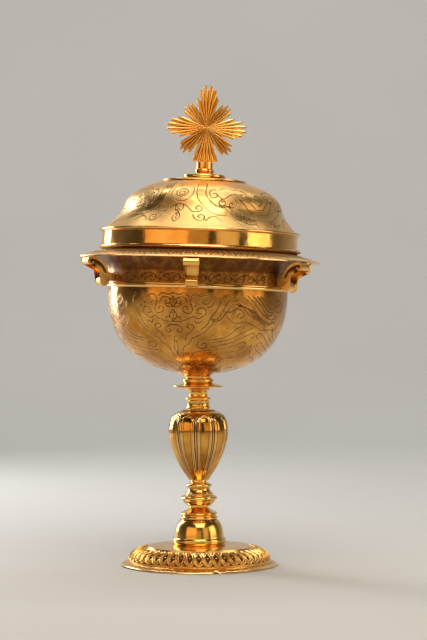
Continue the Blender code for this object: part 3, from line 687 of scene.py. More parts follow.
def belly_line(wall, count):
    """Quarter of a full-bellied curve, from the widest point down to the axis: radius goes with the
    cosine and depth with the sine, both to the power 2 over the fullness."""
    angle = np.linspace(0, pi / 2, count)
    radius = (BOWL_RADIUS - wall) * np.cos(angle).clip(0) ** (2 / FULLNESS)
    drop = (BOWL_DEPTH - wall) * np.sin(angle) ** (2 / FULLNESS)
    radius[-1] = 0
    return even_rows(np.stack([radius, BOWL_DEPTH - drop], axis=-1), count)


def engraved_fields(points, strokes, reach=0.0024):
    """Signed and plain distance from every point to the nearest stroke, as shares of the reach. The
    sign tells the two sides of a stroke apart: it is that of the offset measured along direction
    cross normal, with the normal taken as the way out from the origin, flattened to 0.6 in height."""
    side = np.full(points.shape[:-1], reach)
    near = side.copy()
    outward = points * (1, 1, 0.6)
    outward /= np.linalg.norm(outward, axis=-1, keepdims=True) + 1e-12
    for stroke in strokes:
        low, high = stroke.min(axis=0) - reach, stroke.max(axis=0) + reach
        inside = ((points > low) & (points < high)).all(axis=-1)
        offset = points[inside][:, None] - stroke[None]
        gap = np.linalg.norm(offset, axis=-1)
        if not gap.size:
            continue
        nearest = gap.argmin(axis=1)
        pick = np.arange(len(nearest))
        across = np.cross(np.gradient(stroke, axis=0)[nearest], outward[inside])
        hand = np.sign((offset[pick, nearest] * across).sum(axis=-1))
        gap = gap[pick, nearest]
        closer = gap < near[inside]
        near[inside] = np.where(closer, gap, near[inside])
        side[inside] = np.where(closer, gap * hand, side[inside])
    return side / reach, near / reach


def laid_strokes(profile, strokes, axis, along=1, repeat=120, hands=(1, -1)):
    """Lay strokes, drawn in degrees from an axis, on a turned profile, each time the pattern comes
    round: as drawn for hand 1 and mirrored for hand -1. The second number is a height in
    millimetres, or a radius when along is 0."""
    order = np.argsort(profile[:, along])
    known = profile[order]
    laid = []
    for stroke in strokes:
        line = smooth_line(stroke, 7)
        place = line[:, 1] / 1000
        radius = np.interp(place, known[:, along], known[:, 0])
        height = np.interp(place, known[:, along], known[:, 1])
        for turn in np.radians(np.arange(-360, 361, repeat)):
            for hand in hands:
                azimuth = np.radians(axis + hand * line[:, 0]) + turn
                laid.append(np.stack([radius * np.sin(azimuth), -radius * np.cos(azimuth),
                                      height], axis=-1))
    return laid


def between(first, second, share):
    """A stroke that runs between two others, at a share of the way across."""
    lines = [even_rows(smooth_line(stroke, 5), 12) for stroke in (first, second)]
    return lines[0] + (lines[1] - lines[0]) * share


def engraving(grid, rows, strokes):
    """The engraving fields of a grid: both distances, and the satin left close to the strokes. The
    pattern comes three times round, so the distances are worked out for one third of the columns and
    copied to the others."""
    side, near = np.ones((2, *grid.shape[:2]))
    third = grid.shape[1] // 3
    fields = engraved_fields(grid[rows, :third], strokes)
    side[rows], near[rows] = (np.tile(field, (1, 3)) for field in fields)
    satin = ramp(near, 0.97, 0.37) ** 0.5
    satin = (satin + np.roll(satin, 2, axis=1) + np.roll(satin, -2, axis=1)) / 3
    return {"side": side, "near": near, "satin": satin}


BELLY_AXIS = -15.0
LEAF_STROKES = [
    [(24.7, 33.9), (28.4, 34.9), (30.9, 38.5), (33.4, 42.9), (36.1, 46.5), (40, 47.6), (44.6, 46.2)],
    [(26.6, 32.9), (30.3, 34), (33.8, 38.5), (36.4, 42.1), (41.1, 44.5), (45.6, 41.5), (49.3, 38.1),
     (56.1, 34.7), (65.5, 31.8), (72, 32)],
    [(44, 48.9), (46.1, 47.3), (50.8, 44.3), (54.9, 40), (61, 35.7), (70.5, 32.9), (77, 33),
     (79.4, 35.4), (76.6, 37)],
    [(52, 48.9), (54.4, 47.1), (58.1, 43.7), (62.9, 39.6), (68, 37.4), (72.4, 38.2)],
    [(58.6, 48.6), (62, 46.2), (66, 42.4), (70.6, 41.2)],
    [(38.8, 37.8), (40.5, 40.5), (44.7, 39.7), (46.2, 37.1), (43.3, 35.3), (41.2, 36.6), (42.8, 38)],
    [(34, 36.4), (37.4, 33.5), (42, 32.2), (47, 33.2), (52, 32), (58, 30.2)],
    [(66, 47.8), (70.4, 47.4), (72.6, 44.4), (76.2, 42.6), (80, 44.6), (78.8, 47.4), (76.6, 46.4)],
    [(72.6, 44.4), (74, 41.2), (78.6, 39.6), (83.4, 40.8), (84, 44), (81.8, 43.6)],
    [(60, 29.4), (66, 28.2), (72, 29), (77, 28.4), (82, 30.6), (84, 34.6), (82.4, 37.6)],
]
TENDRIL_STROKES = [
    [(24, 21.8), (31.2, 22.6), (37.2, 24.5), (41.6, 28.2), (45.3, 30.6)],
    [(28, 20.3), (35.8, 21.6), (41.9, 23.5), (48.7, 27.2), (54.5, 29.6)],
    [(32, 18.8), (40, 20.1), (47, 22.9), (53, 25.4), (57.4, 26.6), (59, 24.6), (57, 23.4)],
    [(12, 22.4), (14.2, 23.1), (19.3, 25.6), (24.2, 29.9), (25.8, 32.4)],
    [(18.6, 28.2), (22, 31), (24, 35.4), (27.4, 39.4), (29.4, 44.4), (27.4, 48.4)],
    [(11.2, 42.5), (12.3, 39.8), (10.6, 37.2), (6.8, 38.2), (6.6, 40.8), (8.6, 41.4), (9.3, 39.6)],
    [(12.8, 35.6), (16.2, 34.3), (20.7, 37.3), (19.6, 40.7), (16, 40.2), (15.2, 37.6), (17.6, 37.2)],
    [(0, 47.4), (1.9, 45.2), (1.4, 42.6), (0, 41.2)],
    [(0, 45.4), (0, 42.8)],
    [(0, 41.2), (3.2, 41), (5.4, 42.6), (4.2, 44.6)],
    [(0, 39.6), (2, 37), (2.2, 34.6), (0, 33)],
    [(0, 37.8), (0, 34.8)],
    [(2.2, 35.4), (4.6, 35), (5, 33.6)],
    [(8.7, 43.9), (6.8, 46.9), (3.1, 46.6), (2, 44.2), (4, 42.8), (5.4, 44.6)],
    [(15.2, 45.2), (17.6, 47.4), (21.2, 48.2), (23.4, 45.2), (20.5, 42.9), (18.4, 44.2), (20.2, 45.8)],
    [(11.2, 42.5), (10.8, 45.8), (13, 48.6), (17.6, 47.4)],
    [(0, 32.2), (6, 32.6), (12.8, 35.6)],
    [(0, 49.6), (3.4, 48.6), (6.8, 49.4), (9.6, 47.6)],
    [(14, 41.6), (15, 43.2), (13.6, 44.4)],
    [(21.8, 41.2), (24.2, 41.8), (25.4, 44.2)],
    [(18, 32.4), (15, 31.6), (14.2, 32.8)],
    [(0, 30.2), (3, 30), (5.8, 27.9), (4.2, 25.8), (2, 26.8), (3, 28)],
    [(16.7, 20.6), (15.6, 18.2), (19, 16.6), (23, 17.8), (21.6, 19.8), (19.4, 19)],
    [(7.4, 21.1), (8.6, 24.6), (11.6, 26.5), (13.4, 29.6), (10.6, 31), (8.6, 29.2), (10.6, 28.4)],
    [(0, 12), (1.4, 17), (0, 23.4)],
    [(4, 11), (5.6, 16.4), (10.4, 19.6), (12, 22.4)],
    [(10, 10), (14, 14), (22, 15.2), (32, 16), (44, 18.4), (51, 21), (54.4, 19.8),
     (52.6, 18.4)],
    [(20, 9), (28, 12.4), (40, 14.2), (50, 16), (56, 18.6)],
    [(34, 8.6), (42, 10.8), (52, 12), (57, 15.6), (60, 20)],
]
ROSETTE_STROKES = [
    [(15, 14), (12.5, 20), (7.5, 26.5), (0, 31)],
    [(10.5, 15), (8, 20.5), (4, 25), (0, 27.6)],
    [(0, 14), (0.6, 19), (0, 25)],
    [(15, 22), (13, 27), (15, 32)],
]
GALLERY_STROKES = [
    [(-7.5, 56.6), (-6, 58.8), (-3.5, 60.6), (0, 61.2), (3.5, 60.4), (5.6, 58.4), (7.5, 56.6)],
    [(3.5, 60.4), (4.6, 58.4), (3.4, 56.8), (1.2, 56.8), (0.4, 58.4), (1.6, 59.4), (2.6, 58.6)],
    [(-6, 58.8), (-3.6, 58.6), (-2, 57.2), (-3.4, 56.4)],
    [(-3.5, 60.6), (-1.8, 59.6), (-1.2, 58)],
    [(-7.5, 56.6), (-8.6, 58.4), (-8, 60.6), (-6.4, 61.6)],
]


rim_height = BOWL_DEPTH + GALLERY_HEIGHT
step_height = BOWL_DEPTH + WIRE_HEIGHT
flare = np.linspace(0, 1, 13)
gallery_outer = np.stack([GALLERY_RADIUS + (RIM_RADIUS - GALLERY_RADIUS) * (1 - flare) ** 2,
                          rim_height - FLARE_HEIGHT * flare], axis=-1)
rolled_rim = np.array([(RIM_RADIUS - 0.0009, rim_height - 0.0001), (RIM_RADIUS - 0.0006, rim_height),
                       (RIM_RADIUS - 0.0003, rim_height), (RIM_RADIUS, rim_height - 0.0003)])
belly = belly_line(0.0, BELLY_ROWS)
gallery_foot = np.linspace(rim_height - FLARE_HEIGHT - 0.0008, step_height, GALLERY_ROWS)
gallery_wall = np.stack([np.full(GALLERY_ROWS, GALLERY_RADIUS), gallery_foot], axis=-1)
cup_line = np.vstack([belly_line(SHEET, 16)[::-1], [(GALLERY_RADIUS - SHEET, step_height + SHEET)],
                      (gallery_outer - (SHEET, 0))[:0:-1], rolled_rim, gallery_outer[1:],
                      gallery_wall, [(BOWL_RADIUS, step_height)], belly])
grid = turn_line(cup_line, BOWL_COLUMNS)
bowl_rows = slice(len(cup_line) - BELLY_ROWS - GALLERY_ROWS - 1, len(cup_line))
leaf_veins = [between(*LEAF_STROKES[start:start + 2], share)
              for start, share in ((1, 0.35), (1, 0.7), (2, 0.5), (3, 0.5))]
fields = engraving(grid, bowl_rows, (
    laid_strokes(belly, TENDRIL_STROKES, BELLY_AXIS)
    + laid_strokes(belly, LEAF_STROKES + leaf_veins, BELLY_AXIS, hands=(1,))
    + laid_strokes(belly, ROSETTE_STROKES, BELLY_AXIS, along=0, repeat=30)
    + laid_strokes(gallery_wall, GALLERY_STROKES, BELLY_AXIS, repeat=15, hands=(1,))))
# Painted shade: the whole bowl is darkened evenly, on top of the tarnish in its hollows.
fields["hollow"] = hollows(grid, 1) + BOWL_PAINTED_SHADE
# Painted shade laid over the inside, the rim and the gallery, on top of the tarnish in their hollows.
fields["hollow"][:bowl_rows.start + GALLERY_ROWS] += GALLERY_PAINTED_SHADE
fields["satin"] *= BOWL_SATIN
bowl = skin("bowl_shell", lean_over(grid, BOWL_LEAN, bowl_base), bowl_gilt, fields)
seat(bowl, "bowl")


# The rib wire: a half-round wire of gilt silver, bent round the bowl and soldered on under the
# gallery, where it carries the feet of the brackets.

WIRE_DEPTH = 0.0021
wire_inner = BOWL_RADIUS + SEAM
swing = np.linspace(pi / 2, -pi / 2, 13)
wire_line = np.vstack([
    np.stack([wire_inner + WIRE_DEPTH * (0.45 + 0.55 * np.cos(swing)),
              BOWL_DEPTH + WIRE_HEIGHT / 2 * (1 + np.sin(swing))], axis=-1),
    [(wire_inner, BOWL_DEPTH), (wire_inner, BOWL_DEPTH + WIRE_HEIGHT)]])
grid = lean_over(turn_line(wire_line, 360), BOWL_LEAN, bowl_base)
wire = skin("rib_wire_ring", grid, polished_gilt, {"hollow": hollows(grid, 2, True)}, ring=True)
seat(wire, "rib_wire")


# The brackets: six cast and gilt strips, rolled outwards in a scroll at both ends. Each stands on
# the rib wire, meets the gallery with a short lug and rises to the edge of the lid's flange.

FLANGE_RADIUS = 0.0761
FLANGE_DROP = 0.0028
BRACKET_WALL = 0.0012
BRACKET_TOP_WIDTH = 0.0097
BRACKET_FOOT_WIDTH = 0.0071
BRACKET_TOP_ROLL = 0.0025
BRACKET_FOOT_ROLL = 0.0032
BRACKET_STAND_OFF = 0.0036
BRACKET_OVERHANG = 0.0015
BRACKETS = 6
FIRST_BRACKET_TURN = radians(-3)
LUG_HEIGHT = 0.0040
EDGE_ROUNDING = 0.00022
GROOVE_DEPTH = 0.00010
BRACKET_ROWS = 22
bracket_back = GALLERY_RADIUS + BRACKET_STAND_OFF + BRACKET_WALL / 2


def scroll(centre, radius, start, end, count, tighten):
    """An arc round a centre. Its radius shrinks by a share towards its free end, which is the first
    end, or the last where the share is below zero."""
    angle = np.radians(np.linspace(start, end, count))
    reach = radius * np.linspace(1 - tighten if tighten > 0 else 1, 1 + min(tighten, 0), count)
    return np.stack([centre[0] + reach * np.cos(angle), centre[1] + reach * np.sin(angle)], axis=-1)


def bracket_side():
    """The closed side line of a bracket: a strip along a web that rises as a quarter ellipse between
    two rolls, with a lug on its back that reaches the gallery."""
    half = BRACKET_WALL / 2
    foot_roll, top_roll = BRACKET_FOOT_ROLL - half, BRACKET_TOP_ROLL - half
    foot = (bracket_back + foot_roll, BOWL_DEPTH + BRACKET_FOOT_ROLL + SEAM)
    top = (FLANGE_RADIUS + BRACKET_OVERHANG - BRACKET_TOP_ROLL,
           rim_height - FLANGE_DROP - BRACKET_TOP_ROLL)
    web_rise, web_reach = top[1] + top_roll - foot[1], top[0] - bracket_back
    lug_turn = np.arcsin(LUG_HEIGHT / web_rise)
    turn = np.linspace(lug_turn, pi / 2, 15)[:-1]
    web = np.stack([bracket_back + web_reach * (1 - np.cos(turn)),
                    foot[1] + web_rise * np.sin(turn)], axis=-1)
    roll = scroll(foot, foot_roll, 110, -180, 22, 0.16)
    path = np.vstack([roll, web, scroll(top, top_roll, 90, -150, 18, -0.16)])
    along = np.gradient(path, axis=0)
    along /= np.linalg.norm(along, axis=1)[:, None]
    across = np.stack([-along[:, 1], along[:, 0]], axis=1)
    number = np.arange(len(path))
    thin = 1 - 0.45 * ramp(np.minimum(number, number[::-1]), 6, 0) ** 2
    inner, outer = path + across * half * thin[:, None], path - across * half * thin[:, None]
    face, step = GALLERY_RADIUS + SEAM, len(roll) - 1
    lug = [(face, inner[step][1]), (face, inner[step + 1][1])]
    return np.vstack([inner[:step + 1], lug, inner[step + 1:], outer[::-1]]), foot[1], top[1]


def bracket_grid():
    """Rows across a bracket from right to left, its width tapering down to the foot, with rounded
    edges and a shallow groove beside each. The first and last rows shrink to a point to close the
    sides."""
    side, low, high = bracket_side()
    taper = (BRACKET_TOP_WIDTH - BRACKET_FOOT_WIDTH) * ramp(side[:, 1], low, high)
    place = np.linspace(1, -1, BRACKET_ROWS)[:, None]
    width = place * (BRACKET_FOOT_WIDTH + taper) / 2
    ahead = np.roll(side, -1, axis=0) - np.roll(side, 1, axis=0)
    outward = np.stack([ahead[:, 1], -ahead[:, 0]], axis=-1)
    outward /= np.linalg.norm(outward, axis=1)[:, None] + 1e-12
    edge = np.abs(place)
    press = EDGE_ROUNDING * ramp(edge, 0.86, 1) ** 2 + GROOVE_DEPTH * bell(edge, 0.72, 0.08)
    reach = side[:, 0] - press * outward[:, 0]
    height = side[:, 1] - press * outward[:, 1]
    rows = np.stack([width, -reach, height], axis=-1)
    ends = [np.broadcast_to(row.mean(axis=0), row.shape)[None] for row in (rows[0], rows[-1])]
    return np.concatenate([ends[0], rows, ends[1]])


bracket_shape = bracket_grid()
for number in range(BRACKETS):
    turn = FIRST_BRACKET_TURN + number * 2 * pi / BRACKETS
    spin = np.array([[cos(turn), -sin(turn), 0], [sin(turn), cos(turn), 0], [0, 0, 1]])
    grid = lean_over(bracket_shape @ spin.T, BOWL_LEAN, bowl_base)
    bracket = skin(f"bracket_scroll_{number + 1}", grid, cast_gilt,
                   {"hollow": 0.3 * hollows(grid, 1)}, crease=50)
    seat(bracket, f"bracket_{number + 1}")


# The lid: one raised and soldered shell. A flange with fine leaves rests on the rim, a plain
# polished band stands between two mouldings, and the engraved dome rises over it, 1.6 mm to the right.

BAND_RADIUS = 0.0610
BAND_HEIGHT = 0.0164
FLANGE_WALL = 0.0009
LIP_DEPTH = 0.0030
LIP_CLEARANCE = 0.0008
LOWER_MOULDING = 0.0027
UPPER_MOULDING = 0.0019
MOULDING_HEIGHT = 0.0024
MOULDING_RISE = 0.0036
DOME_BASE = 0.0599
DOME_RADIUS = 0.0492
CAVETTO_HEIGHT = 0.0132
CROWN_RISE = 0.0165
CROWN_FLAT = 0.0278
DOME_OFFSET = 0.0016
DOME_SATIN = 0.8
FLANGE_SATIN = 0.5
STRAP_REACH = 0.0036
LID_COLUMNS = 600
DOME_ROWS = 92
FLANGE_ROWS = 18
DOME_AXIS = -16.2
DOME_STROKES = [
    [(11.6, 43.4), (11.3, 40), (11.5, 36.6), (13.5, 32.6), (18.6, 27.8), (24.9, 24.3), (29.7, 23.8),
     (34.7, 23.3), (37.8, 21.2), (42, 18.2)],
    [(19.6, 43.4), (18.8, 40.2), (18.1, 36.8), (20.8, 33.2), (24.4, 30.2), (29.8, 28.6), (34, 29.4),
     (36.7, 27.1), (42.3, 24.9), (49.8, 22.6), (60, 21.6)],
    [(0, 32.4), (3.5, 32.6), (7.4, 35.2), (8.9, 38.6), (7.9, 41.4)],
    [(0, 39.9), (2.6, 39.4), (4.5, 37.9), (3.6, 35.8), (0, 34.8)],
    [(0, 38.3), (1.7, 38), (2.3, 37.2), (1.6, 36.4), (0, 36.2)],
    [(0, 30.6), (2, 29.9), (2.9, 28.2), (2.3, 26.6), (0.9, 26.2), (0.6, 27.4)],
    [(0, 25.6), (1.7, 24), (2.3, 22), (1.4, 20.2), (0, 19.4)],
    [(0, 24), (0, 22.6), (0, 21.2)],
    [(2.7, 30.1), (6.2, 28.4), (8.9, 26.1), (12, 25.6), (15.5, 26.3), (15.8, 28.2), (13.2, 29.3),
     (11.5, 27.8), (13.2, 27.2)],
    [(10.6, 23.6), (12.2, 21.4), (15, 20.1), (18, 20.8), (18, 23), (15.6, 23.9), (14, 22.6),
     (15.6, 21.9)],
    [(19.5, 20.2), (22.1, 22.4), (25.8, 22.7), (29, 20.4)],
    [(26.2, 39.6), (22.8, 39.2), (20.9, 36.9), (22.9, 34.4), (26.4, 35.2), (26.1, 37.4), (24, 37)],
    [(26.9, 36.2), (29.9, 34), (33.2, 34.4), (37.3, 36.6), (42.5, 37.3)],
    [(29.9, 34), (28.7, 33), (27.4, 31.4), (29.1, 29.7), (32, 30.7), (31.5, 32.8), (29.9, 32)],
    [(37.3, 36.6), (39.8, 34), (41, 31.5), (38.9, 29.1), (36, 28.9), (34.8, 30.4), (36.4, 31.8),
     (37.9, 30.8)],
    [(29, 39.4), (34, 40.6), (40, 40), (45.4, 39.7), (50.2, 38.6), (50.8, 36.2), (47.2, 35.2),
     (45.6, 36.9), (47.6, 37.6)],
    [(42.6, 34.6), (46.4, 31.6), (49.8, 27.6), (54.1, 25.4), (60, 25.2)],
    [(43.8, 33.6), (49, 33.4), (53.6, 31), (56.8, 28.4), (60, 28.2)],
    [(60, 37.4), (57, 35.2), (56.6, 32.8), (60, 30.6)],
    [(44, 20.4), (48, 19), (52, 19.6), (53.6, 18)],
]
FLANGE_STROKES = [
    [(3, 62.5), (2.3, 67), (0, 73.5)],
    [(0, 62.5), (0.2, 66), (0, 70)],
    [(1.6, 63), (1.3, 66.5), (0.6, 68.5)],
    [(3, 67.5), (1.9, 71.5), (3, 75)],
]
lid_gilt = gilt("engraved lid gilt", (0.94, 0.56, 0.17), (0.80, 0.38, 0.08), 0.13,
                tarnish_and_shade_reach=0.7, dents=1.2)
engrave_material(lid_gilt, 0.16)
lid_base = bowl_base + bowl_rise * rim_height


def flange_height(radius):
    """Height over the rim of the cone the flange lies on."""
    return SEAM - FLANGE_DROP / (FLANGE_RADIUS - RIM_RADIUS) * (radius - RIM_RADIUS)


def dome_line(wall, count):
    """From the crown's flat down an elliptic shoulder, then a hollow cavetto that widens with the
    power 1.35 of the way down. A moving mean along the line softens the turn between the two."""
    waist = BAND_HEIGHT + CAVETTO_HEIGHT
    radius, flat, top = DOME_RADIUS - wall, CROWN_FLAT - wall / 2, CROWN_RISE - wall
    rise = top / np.sqrt(1 - (flat / radius) ** 2)
    angle = np.linspace(np.arccos(flat / radius), 0, count)
    share = np.linspace(0, 1, count)[1:]
    shoulder = np.stack([radius * np.cos(angle), waist + rise * np.sin(angle)], axis=-1)
    cavetto = np.stack([radius + (DOME_BASE - DOME_RADIUS) * share ** 1.35,
                        waist - CAVETTO_HEIGHT * share], axis=-1)
    line = even_rows(np.vstack([shoulder, cavetto]), count)
    spread = max(count // 14, 1)
    weight = np.ones(2 * spread + 1) / (2 * spread + 1)
    ends = (2 * line[0] - line[spread:0:-1], line, 2 * line[-1] - line[-2:-spread - 2:-1])
    padded = np.vstack(ends)
    return np.stack([np.convolve(padded[:, axis], weight, "valid") for axis in (0, 1)], axis=-1)


def moulding(reach, bottom, depth, count=9):
    """A half-round moulding from its top to its bottom."""
    angle = np.linspace(pi / 2, -pi / 2, count)
    return np.stack([reach - depth + depth * np.cos(angle),
                     bottom + MOULDING_HEIGHT / 2 * (1 + np.sin(angle))], axis=-1)


dome = dome_line(0.0, DOME_ROWS)
crown = np.array([(0, dome[0, 1]), (CROWN_FLAT * 0.5, dome[0, 1])])
lip_outer = GALLERY_RADIUS - SHEET - LIP_CLEARANCE
lip_inner = lip_outer - SHEET
band_inner = BAND_RADIUS - SHEET
flange_top = np.linspace(BAND_RADIUS, FLANGE_RADIUS - 0.0004, FLANGE_ROWS)
flange_upper = np.stack([flange_top, flange_height(flange_top) + FLANGE_WALL], axis=-1)
band_heights = np.array([0.0138, 0.0135, 0.0128, 0.0100, 0.0072, 0.0065, 0.0062])
band_wall = np.stack([np.full(7, BAND_RADIUS), band_heights], axis=-1)
flange_under = np.linspace(FLANGE_RADIUS - 0.0003, lip_outer, 4)
over_flange = np.vstack([
    crown, dome,
    moulding(BAND_RADIUS + UPPER_MOULDING, BAND_HEIGHT - MOULDING_HEIGHT, UPPER_MOULDING),
    band_wall, moulding(BAND_RADIUS + LOWER_MOULDING, MOULDING_RISE, LOWER_MOULDING)])
lid_line = np.vstack([
    over_flange, flange_upper,
    [(FLANGE_RADIUS, flange_height(FLANGE_RADIUS) + FLANGE_WALL * 0.6),
     (FLANGE_RADIUS, flange_height(FLANGE_RADIUS) + FLANGE_WALL * 0.25)],
    np.stack([flange_under, flange_height(flange_under)], axis=-1),
    [(lip_outer, -LIP_DEPTH), (lip_inner, -LIP_DEPTH),
     (lip_inner, flange_height(lip_inner) + FLANGE_WALL),
     (band_inner, flange_height(band_inner) + FLANGE_WALL), (band_inner, BAND_HEIGHT - SHEET)],
    dome_line(SHEET, 14)[::-1], [(0, dome[0, 1] - SHEET)]])
grid = turn_line(lid_line, LID_COLUMNS)
dome_rows = slice(len(crown), len(crown) + DOME_ROWS)
flange_rows = slice(len(over_flange), len(over_flange) + FLANGE_ROWS)
fields = engraving(grid, slice(dome_rows.start, flange_rows.stop), (
    laid_strokes(dome, DOME_STROKES, DOME_AXIS)
    + laid_strokes(flange_upper, FLANGE_STROKES, DOME_AXIS, along=0, repeat=6)))
fields["hollow"] = hollows(grid, 1)
strap = laid_strokes(dome, [between(*DOME_STROKES[:2], 0.5)], DOME_AXIS)
strap = ramp(engraved_fields(grid[dome_rows], strap, STRAP_REACH)[1], 1, 0.88)
satin = DOME_SATIN + (1 - DOME_SATIN) * fields["satin"][dome_rows]
fields["satin"][dome_rows] = satin * (1 - 0.5 * strap)
fields["satin"][flange_rows] += FLANGE_SATIN
grid[..., 0] += DOME_OFFSET * ramp(grid[..., 2], BAND_HEIGHT, BAND_HEIGHT + CAVETTO_HEIGHT)
seat(skin("lid_shell", lean_over(grid, BOWL_LEAN, lid_base), lid_gilt, fields), "lid")


# The top plate: a thin round plate on the crown, turned and polished, with a rounded edge and a
# shallow groove inside it. It is soldered to the dome.

PLATE_HEIGHT = 0.0014
crown_level = BAND_HEIGHT + CAVETTO_HEIGHT + CROWN_RISE + SEAM
plate_base = lean_over((DOME_OFFSET, 0, crown_level), BOWL_LEAN, lid_base)
plate_line = smooth_line([
    (0.0100, PLATE_HEIGHT), (0.0200, PLATE_HEIGHT - 0.0001), (0.0212, PLATE_HEIGHT - 0.0002),
    (0.0222, PLATE_HEIGHT), (0.0254, PLATE_HEIGHT), (0.0262, 0.0011), (0.0264, 0.0007),
    (0.0262, 0.0003), (0.0255, 0.0)], 4)
polished_piece("top_plate", "lid_top_plate", closed(plate_line), 180, plate_base, BOWL_LEAN)


# The finial: a spreading collar with a ring and a short socket that holds the cross. It is cast
# in one, turned and polished.

FINIAL_HEIGHT = 0.0112
finial_base = plate_base + bowl_rise * (PLATE_HEIGHT + SEAM)
finial_line = smooth_line([
    (0.0044, 0.0112), (0.0050, 0.0110), (0.0050, 0.0110), (0.0050, 0.0085), (0.0052, 0.0070),
    (0.0052, 0.0070), (0.0058, 0.0064), (0.0060, 0.0057), (0.0058, 0.0050), (0.0056, 0.0046),
    (0.0056, 0.0046), (0.0068, 0.0040), (0.0080, 0.0032), (0.0092, 0.0028), (0.0104, 0.0029),
    (0.0116, 0.0032), (0.0126, 0.0032), (0.0132, 0.0026), (0.0132, 0.0017), (0.0126, 0.0009),
    (0.0117, 0.0004), (0.0112, 0.0)], 4)
polished_piece("cross_socket", "finial", closed(finial_line), 128, finial_base, BOWL_LEAN)


# The cross: a flat cast sunburst, four arms of six rays and four short diagonal groups of four,
# with deep grooves between the rays. The lowest arm is cut straight where it meets the socket.

TOP_ARM = 0.0272
SIDE_ARM = 0.0256
DIAGONAL = 0.0207
DIAGONAL_SPREAD = 0.0011
CROSS_STEM = 0.0212
CROSS_THICKNESS = 0.0024
CROSS_EDGE = 0.0009
VALLEY_RADIUS = 0.0104
RAY_SPACING = radians(7.6)
CROSS_LEAN = radians(1.0)
CROSS_ROWS = 26
RAY_COLUMNS = 10


def ray_turns():
    """Angle from upright, length and the radius of the valley that follows, for all forty rays."""
    quarter, step = np.meshgrid(np.arange(4), np.arange(10), indexing="ij")
    arm = step < 6
    middle = quarter * pi / 2 + np.where(arm, 0, pi / 4)
    offset = np.where(arm, step - 2.5, step - 7.5) * RAY_SPACING
    taper = 1 - 0.28 * (offset / (2.5 * RAY_SPACING)) ** 2
    length = np.where(quarter == 0, TOP_ARM, SIDE_ARM) * taper
    short = (DIAGONAL - DIAGONAL_SPREAD * np.cos(middle) * 2 ** 0.5) * taper
    length = np.where(arm, length, short)
    valley = 0.86 * length
    foot = arm & (quarter == 2)
    length = np.where(foot, CROSS_STEM / np.cos(offset), length)
    valley = np.where(foot, CROSS_STEM / np.cos(offset + RAY_SPACING / 2), valley)
    valley = np.where((step == 5) | (step == 9), VALLEY_RADIUS, valley)
    return (middle + offset).ravel(), length.ravel(), valley.ravel()


def cross_grid():
    """Rows from the front pole over the edge to the back pole. Across one ray the section goes from
    ridge to groove and back; the reach is rounded at a ray's tip and sharp in the valley."""
    turn, length, valley = ray_turns()
    gap = (np.roll(turn, -1) - turn) % (2 * pi)
    share = (np.arange(RAY_COLUMNS) / RAY_COLUMNS)[None]
    angle = (turn[:, None] + gap[:, None] * share).ravel()
    dip = np.sin(pi * share)
    tip = np.where(share < 0.5, length[:, None], np.roll(length, -1)[:, None])
    reach = (tip + (valley[:, None] - tip) * dip ** 3).ravel()
    groove = np.tile(0.25 * dip ** 2 + 0.75 * dip ** 8, (len(turn), 1)).ravel()
    out = np.sin(np.linspace(0, pi / 2, CROSS_ROWS))[:, None]
    radius = reach * out
    grown = ramp(radius, 0, 0.0050)
    depth = CROSS_THICKNESS / 2 * (0.86 - 0.30 * out ** 3 + 0.14 * grown - 0.55 * groove * grown)
    depth = np.where(out > 0.985, CROSS_EDGE / 3, depth.clip(min=CROSS_EDGE / 2))
    front = np.stack([radius * np.sin(angle), -depth, CROSS_STEM + radius * np.cos(angle)], axis=-1)
    back = front[::-1] * (1, -1, 1)
    return np.concatenate([front, back])[:, ::-1]


cross_base = finial_base + bowl_rise * (FINIAL_HEIGHT + SEAM)
grid = lean_over(cross_grid(), BOWL_LEAN + CROSS_LEAN, cross_base)
cross = skin("sunburst_cross", grid, cast_gilt, {"hollow": 0.35 * hollows(grid, 2) - 0.1}, crease=60)
seat(cross, "cross")


# The floor: a plain pale studio floor that curves up far away all round, so that there is no
# horizon. Its middle lies in front of the piece.

FLOOR_RADIUS = 3.6
COVE_RADIUS = 1.0
WALL_TOP = 3.5
FLOOR_SHIFT = -2.4
FLOOR_COLUMNS = 128
floor_stuff = bpy.data.materials.new("pale floor")
floor_stuff.use_nodes = True
floor_tree = floor_stuff.node_tree
floor_noise = noise_node(floor_tree, floor_tree.nodes.new("ShaderNodeTexCoord").outputs["Object"], 4)
floor_colour = mix_node(floor_tree, floor_noise, (0.55, 0.545, 0.535, 1), (0.60, 0.595, 0.585, 1))
feed(floor_tree, floor_tree.nodes["Principled BSDF"], {"Roughness": 0.9, "Base Color": floor_colour})
bend = np.linspace(0, pi / 2, 24)
cove = np.stack([FLOOR_RADIUS + COVE_RADIUS * np.sin(bend), COVE_RADIUS * (1 - np.cos(bend))], axis=-1)
wall = [(FLOOR_RADIUS + COVE_RADIUS, WALL_TOP)]
floor_grid = turn_line(np.vstack([cove, wall]), FLOOR_COLUMNS) + (0, FLOOR_SHIFT, 0)
number = np.arange(floor_grid[..., 0].size).reshape(-1, FLOOR_COLUMNS)
floor_quads = np.stack([number[1:], np.roll(number[1:], -1, 1), np.roll(number[:-1], -1, 1),
                        number[:-1]], axis=-1)
floor_mesh = bpy.data.meshes.new("floor")
floor_mesh.from_pydata(floor_grid.reshape(-1, 3).tolist(), [],
                       [number[0].tolist(), *floor_quads.reshape(-1, 4).tolist()])
floor_mesh.shade_smooth()
floor_mesh.materials.append(floor_stuff)
add_object("floor", floor_mesh)


# Light: soft boxes overhead and a white strip behind at the left, which draws the bright left
# edge. Dim warm boxes at both front corners and in front, and a stronger one at the right, give
# the amber bands on the polished metal. The last one lights the wall behind.

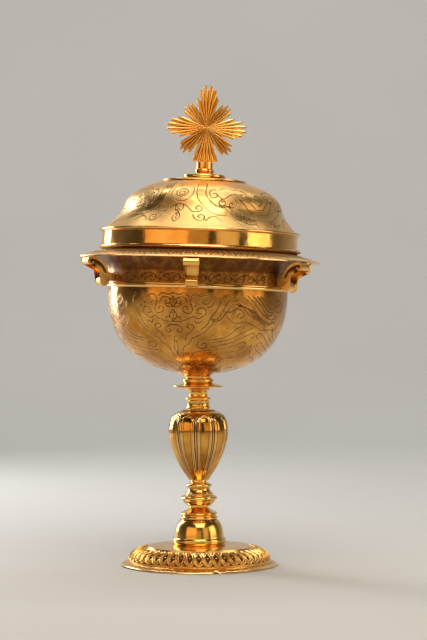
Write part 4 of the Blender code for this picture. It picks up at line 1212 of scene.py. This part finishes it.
def soft_box(name, place, aim, width, height, power, colour):
    """A rectangular area light that looks at a point."""
    lamp = bpy.data.lights.new(name, "AREA")
    lamp.shape = "RECTANGLE"
    lamp.size = width
    lamp.size_y = height
    lamp.energy = power
    lamp.color = colour
    lamp_object = add_object(name, lamp)
    lamp_object.location = place
    lamp_object.rotation_euler = (Vector(aim) - Vector(place)).to_track_quat("-Z", "Y").to_euler()


middle = (0, 0, 0.17)
soft_box("overhead", (0.08, -0.62, 0.92), middle, 0.7, 0.6, 4.4, (1.0, 0.94, 0.84))
soft_box("top", (0.0, -0.2, 2.2), (0, 0, 0), 1.6, 1.6, 13.0, (1.0, 0.98, 0.95))
soft_box("rim", (-0.62, 0.60, 0.36), middle, 0.25, 0.6, 5.0, (1.0, 1.0, 1.0))
soft_box("warm_left", (-0.66, -0.80, 0.38), middle, 1.0, 0.6, 2.1, (1.0, 0.64, 0.28))
soft_box("front_fill", (-0.08, -1.70, 0.42), middle, 0.8, 0.7, 0.9, (1.0, 0.60, 0.24))
soft_box("right_fill", (0.54, -0.86, 0.38), middle, 0.46, 0.6, 0.65, (1.0, 0.74, 0.40))
soft_box("right", (0.98, -0.32, 0.40), middle, 0.62, 0.64, 2.6, (1.0, 0.82, 0.54))
soft_box("backdrop", (0.0, 0.9, 1.9), (0, 2.0, 0.4), 2.4, 0.6, 22.0, (1.0, 0.98, 0.95))
world = bpy.data.worlds.new("studio")
world.use_nodes = True
feed(world.node_tree, world.node_tree.nodes["Background"],
     {"Color": (0.52, 0.50, 0.48, 1), "Strength": 0.10})
bpy.context.scene.world = world
bpy.context.scene.view_settings.view_transform = "Standard"


# The camera stands level in front of the piece, as in the photo, with a long lens.

CAMERA_DISTANCE = 1.249
CAMERA_HEIGHT = 0.1528
CAMERA_SHIFT = 0.00887
camera_data = bpy.data.cameras.new("camera")
camera_data.lens = 112.5
camera_data.sensor_width = 36
camera = add_object("camera", camera_data)
camera.location = (CAMERA_SHIFT, -CAMERA_DISTANCE, CAMERA_HEIGHT)
camera.rotation_euler = (pi / 2, 0, 0)
bpy.context.scene.camera = camera
